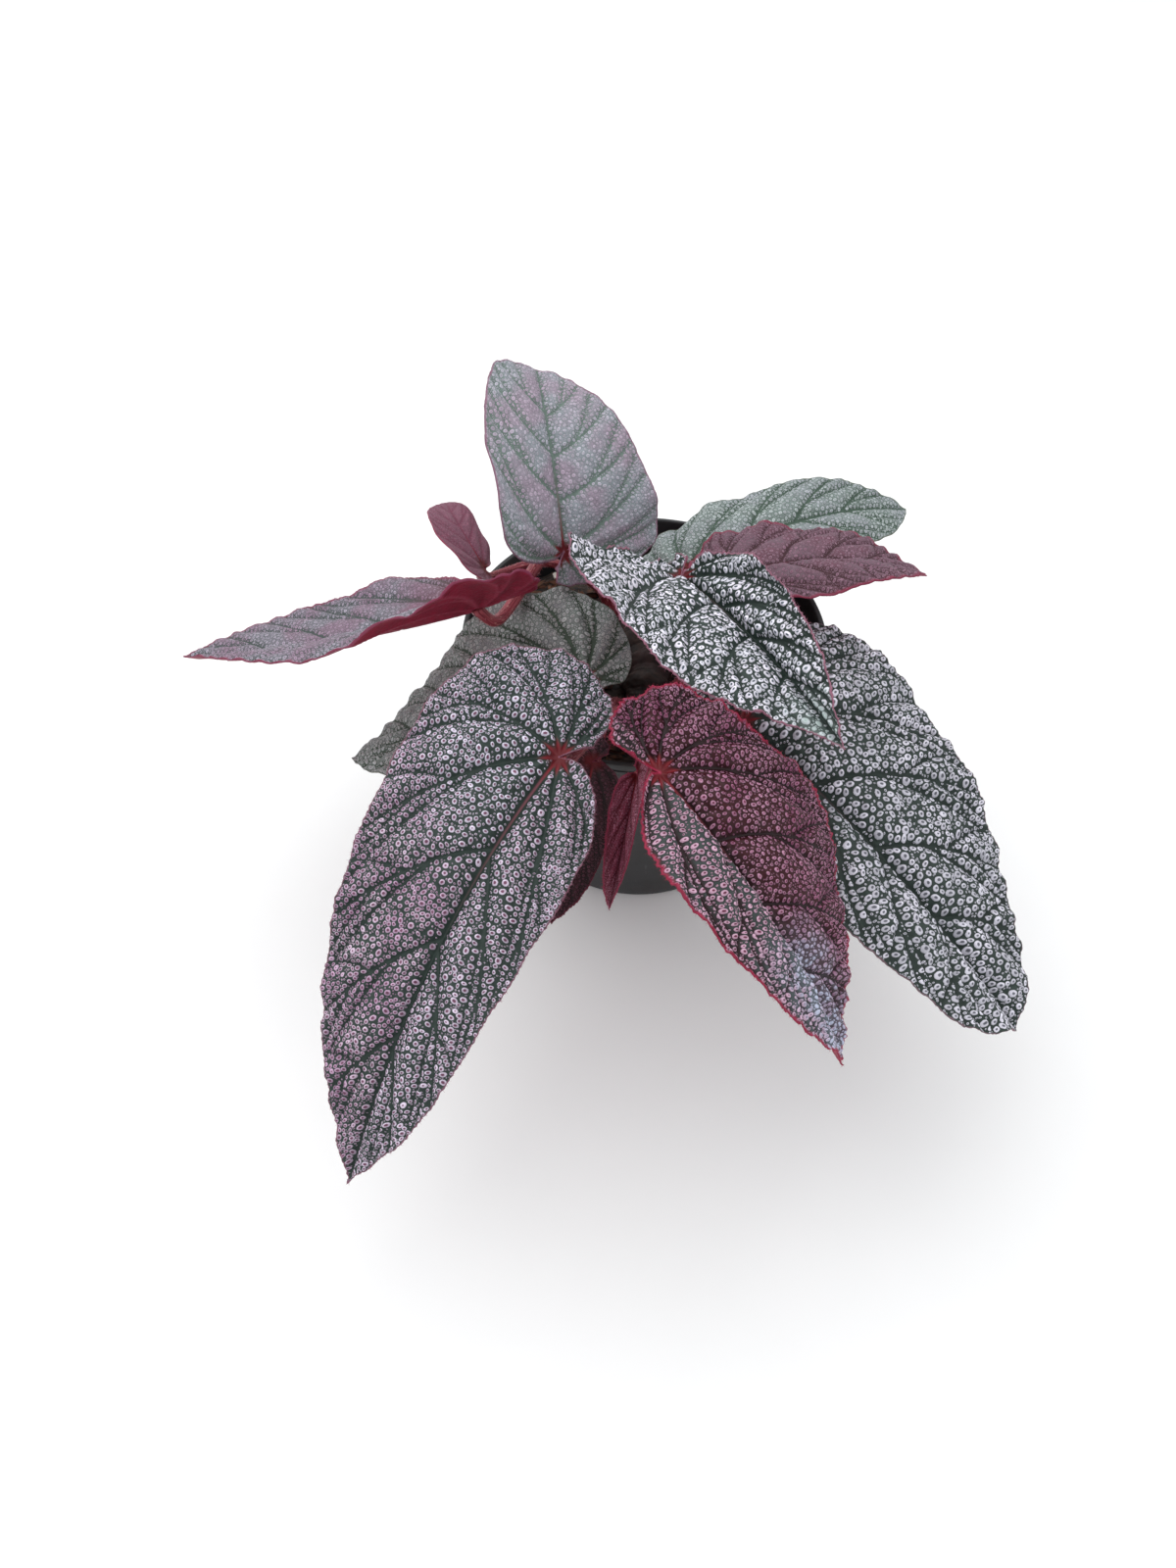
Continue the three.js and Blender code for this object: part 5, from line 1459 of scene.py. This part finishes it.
def bumps(points, width, seed):
    """Smooth random numbers from about -1 to 1 at points, with bumps about a width across."""
    return np.array([noise.noise(Vector(p) / width + Vector((seed, 0, 0))) for p in points])


def wall_radius(height):
    """Outside radius of the pot's wall, under its rim band."""
    top = POT_RIM_RADIUS - POT_LIP
    return POT_FOOT_RADIUS + (top - POT_FOOT_RADIUS) * height / (POT_HEIGHT - POT_BAND)


def inside_radius(height):
    """Inside radius of the pot."""
    return wall_radius(height) - POT_WALL


def soil_height(x, y):
    """The soil's surface above SOIL_TOP."""
    return sum(rise * np.sin(a * x + b * y + phase) for a, b, phase, rise in SOIL_WAVES)


SCAR_LINE = (-0.6, 0.12, 0.35)  # fine line beside a scar: its phase, width and depth
RHIZOME_LUMPS = [(4.0, 3, 0.7), (1.4, 9, 0.35)]  # width, seed and height of its knobs
RHIZOME_RISE = 0.5  # how far a knob may stand out
CRUMBS = [(5.0, 1, 0.99), (2.2, 5, 0.72), (0.9, 11, 0.405)]  # and of the soil's crumbs
SOIL_CLEAR = 0.12  # between the soil and the pot's wall


def build_rhizome(cork):
    """The creeping stem that all stalks spring from, knobbed and ringed at each old scar."""
    third = RHIZOME_LENGTH / 6
    knots = [(-2, -3 * third, SOIL_TOP - 1), (1.5, -third, SOIL_TOP + 1),
             (-1.5, third, SOIL_TOP + 0.5), (1, 3 * third, SOIL_TOP - 2)]
    steps, count = ((180, 64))
    path, _ = centripetal(knots, steps)
    share = np.linspace(0, 1, steps)
    taper = np.sqrt(np.maximum(RHIZOME_END ** 2, 1 - (2 * share - 1) ** 6))
    scars = np.sin(share * RHIZOME_SCARS * 2 * math.pi)
    phase, width, depth = SCAR_LINE
    lines = depth * np.exp(-((scars - phase) / width) ** 2)
    radius = (RHIZOME_RADIUS + RHIZOME_SWELL * scars - lines) * taper
    points, triangles = swept(path, np.tile(radius[:, None], (1, count)))
    away = points - np.vstack([np.repeat(path, count, axis=0), path[:1], path[-1:]])
    away /= np.maximum(np.linalg.norm(away, axis=1), 1e-6)[:, None]
    lumps = sum(height * bumps(points, width, seed) for width, seed, height in RHIZOME_LUMPS)
    points = points + away * np.minimum(lumps, RHIZOME_RISE)[:, None]
    return make_mesh("creeping_rhizome", points, triangles, materials=[cork])


def build_soil(peat):
    """The potting mix, filling the pot to just under its rim, with a crumbled top."""
    rings, count = ((120, 320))
    edge = inside_radius(SOIL_TOP - SOIL_EDGE) - SOIL_CLEAR
    share = np.linspace(0, 1, rings + 1)[1:]
    turn = spokes(count)
    x = (edge * share[:, None] * np.cos(turn)).ravel()
    y = (edge * share[:, None] * np.sin(turn)).ravel()
    near_wall = smooth(0.9, 1, np.repeat(share, count))
    flat = np.column_stack([x, y, 0 * x])
    coarse, middling, fine = [height * bumps(flat, width, seed) for width, seed, height in CRUMBS]
    z = SOIL_TOP + soil_height(x, y) * (1 - near_wall) + coarse + np.abs(middling) + fine
    z -= SOIL_EDGE * near_wall
    low = POT_FLOOR + GAP
    foot = inside_radius(low) - SOIL_CLEAR
    bottom = np.column_stack([foot * np.cos(turn), foot * np.sin(turn), np.full(count, low)])
    ends = [(0, 0, SOIL_TOP + soil_height(0, 0)), (0, 0, low)]
    points = np.vstack([np.column_stack([x, y, z]), bottom, ends])
    # Its rings run from the middle of the top out and down, so a tube's triangles are turned over.
    return make_mesh("soil_mix", points, tube_faces(rings + 1, count)[:, ::-1], materials=[peat])


SOIL_REACH = 57  # places on the soil are tried within this square
STALK_CLEAR = 5.5  # nothing lies this near the middle of a stalk's foot


def surface_places(count, chance, margin):
    """Places on the soil that are clear of the rhizome and of the stalks' feet."""
    found = []
    while len(found) < count:
        x, y = chance.uniform(-SOIL_REACH, SOIL_REACH, 2)
        clear = math.hypot(x, y) < inside_radius(SOIL_TOP) - margin
        clear &= abs(x) > RHIZOME_RADIUS + 2 or abs(y) > RHIZOME_LENGTH / 2 + 3
        clear &= all(math.hypot(x - leaf["foot"][0], y - leaf["foot"][1]) > STALK_CLEAR
                     for leaf in LEAVES)
        if clear:
            found.append((x, y, SOIL_TOP + soil_height(x, y)))
    return np.array(found)


BAND_GROOVES = (2.4, 8.2)  # heights of the two fine grooves above the rim band's foot
BAND_GROOVE_HALF = 0.5  # half of a groove's width at its mouth
BAND_GROOVE_FLOOR = 0.2  # and at its floor
BAND_GROOVE_DEPTH = 0.28


def pot_profile():
    """Half of the pot's section, as radius and height: from under its middle out and up, over the rim
    and down the inside to the floor's middle."""
    foot, rim, band = POT_FOOT_RADIUS, POT_RIM_RADIUS, POT_HEIGHT - POT_BAND
    # The raised floor, the ring that the pot stands on, and the wall.
    outer = [(0, 0.8), (foot - 7, 0.8), (foot - 6.2, 0), (foot - 2, 0), (foot - 0.9, 0.3),
             (foot - 0.3, 0.9), (foot, 2)]
    outer += [(wall_radius(z), z) for z in np.linspace(6, band - 1.6, 16)]
    # The step out to the rim band, and the band.
    outer += [(wall_radius(band - 1) + 0.1, band - 1), (rim - 1.5, band - 0.7), (rim - 1, band - 0.2),
              (rim - POT_BAND_TAPER, band + 0.5)]
    for groove in (band + rise for rise in BAND_GROOVES):
        face = rim - POT_BAND_TAPER * (POT_HEIGHT - groove) / POT_BAND
        low = face - BAND_GROOVE_DEPTH
        outer += [(face, groove - BAND_GROOVE_HALF), (low, groove - BAND_GROOVE_FLOOR),
                  (low, groove + BAND_GROOVE_FLOOR), (face, groove + BAND_GROOVE_HALF)]
    # The rolled rim.
    rolled = [(0, POT_RIM_ROUND), (0.25, 0.25), (POT_RIM_ROUND, 0), (2 * POT_RIM_ROUND, 0.1), (2.1, 0.7)]
    over = [(rim - inward, POT_HEIGHT - drop) for inward, drop in rolled]
    # The inside: the shelf under the rim, the wall and the floor.
    shelf = band + POT_LIP
    inner = [(inside_radius(shelf) + 0.9, shelf + 1.6), (inside_radius(shelf) + 0.1, shelf + 0.4)]
    inner += [(inside_radius(z), z) for z in np.linspace(shelf - 0.6, POT_FLOOR + 1.4, 18)]
    inner += [(inside_radius(POT_FLOOR) - 1.2, POT_FLOOR), (0, POT_FLOOR)]
    return np.array(outer + over + inner)


def drain_drill():
    """Short rods where the pot's drain holes are."""
    rods = bmesh.new()
    for turn in (np.arange(DRAIN_COUNT) + 0.5) * 2 * math.pi / DRAIN_COUNT:
        centre = Vector((DRAIN_CIRCLE * math.cos(turn), DRAIN_CIRCLE * math.sin(turn), 0)) * MM
        bmesh.ops.create_cone(rods, cap_ends=True, segments=32, radius1=DRAIN_RADIUS * MM,
                              radius2=DRAIN_RADIUS * MM, depth=8 * MM,
                              matrix=Matrix.Translation(centre))
    mesh = bpy.data.meshes.new("drain_drill")
    rods.to_mesh(mesh)
    rods.free()
    drill = bpy.data.objects.new("drain_drill", mesh)
    bpy.context.scene.collection.objects.link(drill)
    return drill


def build_pot(plastic):
    """The nursery pot: tapered wall, foot ring, drains, and a rim band with two fine grooves."""
    profile = pot_profile()
    count = 168
    turn = spokes(count)
    body = profile[1:-1]
    points = np.stack([body[:, 0, None] * np.cos(turn), body[:, 0, None] * np.sin(turn),
                       np.repeat(body[:, 1, None], count, axis=1)], -1).reshape(-1, 3)
    points = np.vstack([points, [(0, 0, profile[0, 1])], [(0, 0, profile[-1, 1])]])
    pot = make_mesh("nursery_pot", points, tube_faces(len(body), count), materials=[plastic])
    drill = drain_drill()
    cut = pot.modifiers.new("drains", "BOOLEAN")
    cut.object = drill
    cut.solver = "EXACT"
    graph = bpy.context.evaluated_depsgraph_get()
    drilled = bpy.data.meshes.new_from_object(pot.evaluated_get(graph))
    pot.modifiers.clear()
    pot.data = drilled
    bpy.data.objects.remove(drill)
    smooth_by_angle(pot, 35)
    return pot


def smooth_by_angle(piece, degrees):
    """Smooth shading, with a hard line wherever two faces meet at more than an angle."""
    shape = bmesh.new()
    shape.from_mesh(piece.data)
    for face in shape.faces:
        face.smooth = True
    for line in shape.edges:
        line.smooth = len(line.link_faces) == 2 and line.calc_face_angle(0) < degrees * DEGREE
    shape.to_mesh(piece.data)
    shape.free()


# ---- the plant --------------------------------------------------------------------------------

CHIP_COUNT = 300
CHIP_SIZES = [(3, 7.5), (2, 4.5), (0.8, 1.8)]  # length, width and thickness of the bark chips
PERLITE_COUNT = 90
PERLITE_SIZES = (1.4, 3.2)
PERLITE_RISE = 0.4  # how high its grains lie on the soil

stalk_red = stalk_skin()
keep(build_pot(moulded_polypropylene()), "pot_plastic", "pot")
keep(build_soil(peat_mix()), "soil", "soil")
keep(build_rhizome(rhizome_bark_painted_shade()), "rhizome", "rhizome")

chance = np.random.default_rng(SEED)
chips = scatter_tree("bark_chip_scatter", chip_shape, bark_chip_wood(), {"Raggedness": 1.7})
places = surface_places(CHIP_COUNT, chance, 4)
grow = np.column_stack([chance.normal(0, 0.5, (CHIP_COUNT, 2)), np.ones(CHIP_COUNT)])
size = np.column_stack([chance.uniform(*sizes, CHIP_COUNT) for sizes in CHIP_SIZES]) * MM
keep(scatter("bark_chips", chips, places, grow, size), "soil")

grains = scatter_tree("perlite_scatter", grain_shape, perlite_glass(), {"Raggedness": 2.4})
places = surface_places(PERLITE_COUNT, chance, 3) + (0, 0, PERLITE_RISE)
size = chance.uniform(*PERLITE_SIZES, (PERLITE_COUNT, 1)) * MM
size = size * chance.uniform(0.8, 1.2, (PERLITE_COUNT, 3))
keep(scatter("perlite", grains, places, chance.normal(0, 1, (PERLITE_COUNT, 3)), size), "soil")

down = []
for leaf in LEAVES:
    name = leaf["name"]
    look = LOOKS[name]
    chance = np.random.default_rng(SEED + 3 * sum(map(ord, name)))
    skins = [leaf_upper_skin(name, look), leaf_under_skin(name, look)]
    blade, edge, middle = build_blade(leaf, look, skins)
    keep(blade, look["slot"], "leaf_" + name)
    stalk, rings, at = build_stalk(leaf, stalk_red)
    keep(stalk, "petiole", "petiole_" + name)
    down.append(stalk_hairs(leaf, rings, at, chance))
    hairs = scatter_tree("margin_hair_scatter_" + name, hair_shape, hair_skin(name, look["hair_red"]),
                         {"Root Radius": MARGIN_HAIR_RADIUS})
    rows = margin_hairs(leaf, look, edge, middle, chance)
    keep(scatter("margin_hairs_" + name, hairs, *rows), look["slot"])
hairs = scatter_tree("down_scatter", hair_shape, hair_skin("stalk", "#c98a90"),
                     {"Root Radius": STALK_HAIR_RADIUS})
keep(scatter("stalk_hairs", hairs, *[np.vstack(rows) for rows in zip(*down)]), "petiole")

# ---- floor, light and camera ---------------------------------------------------------------------

FLOOR_REACH = 6000
corners = [(x * FLOOR_REACH, y * FLOOR_REACH, 0) for x, y in ((-1, -1), (1, -1), (1, 1), (-1, 1))]
floor = make_mesh("studio_floor", corners, [(0, 1, 2), (0, 2, 3)], materials=[studio_floor_paper()])

scene = bpy.context.scene
world = bpy.data.worlds.new("soft_white_room")
world.use_nodes = True
world.node_tree.nodes["Background"].inputs[0].default_value = linear("#f4f6fa")
world.node_tree.nodes["Background"].inputs[1].default_value = 0.9
scene.world = world

for name, place, aim, size, power in (
    ("window_light", (-0.4, 0.3, 1.2), (0, -0.05, 0.08), 1.5, 10.0),
    ("fill_light", (0.9, -0.6, 0.9), (0, -0.05, 0.08), 1.6, 2.8),
):
    lamp = bpy.data.lights.new(name, "AREA")
    lamp.size = size
    lamp.energy = power
    holder = bpy.data.objects.new(name, lamp)
    holder.location = place
    holder.rotation_euler = (Vector(aim) - Vector(place)).to_track_quat("-Z", "Y").to_euler()
    scene.collection.objects.link(holder)

lens = bpy.data.cameras.new("photo_camera")
lens.lens = 27
lens.sensor_width = 36
lens.clip_start = 0.01
camera = bpy.data.objects.new("photo_camera", lens)
camera.location = (-0.0185, -0.288, 0.356)
camera.rotation_euler = (40 * DEGREE, 0, 0)
scene.collection.objects.link(camera)
scene.camera = camera
scene.view_settings.view_transform = "Standard"
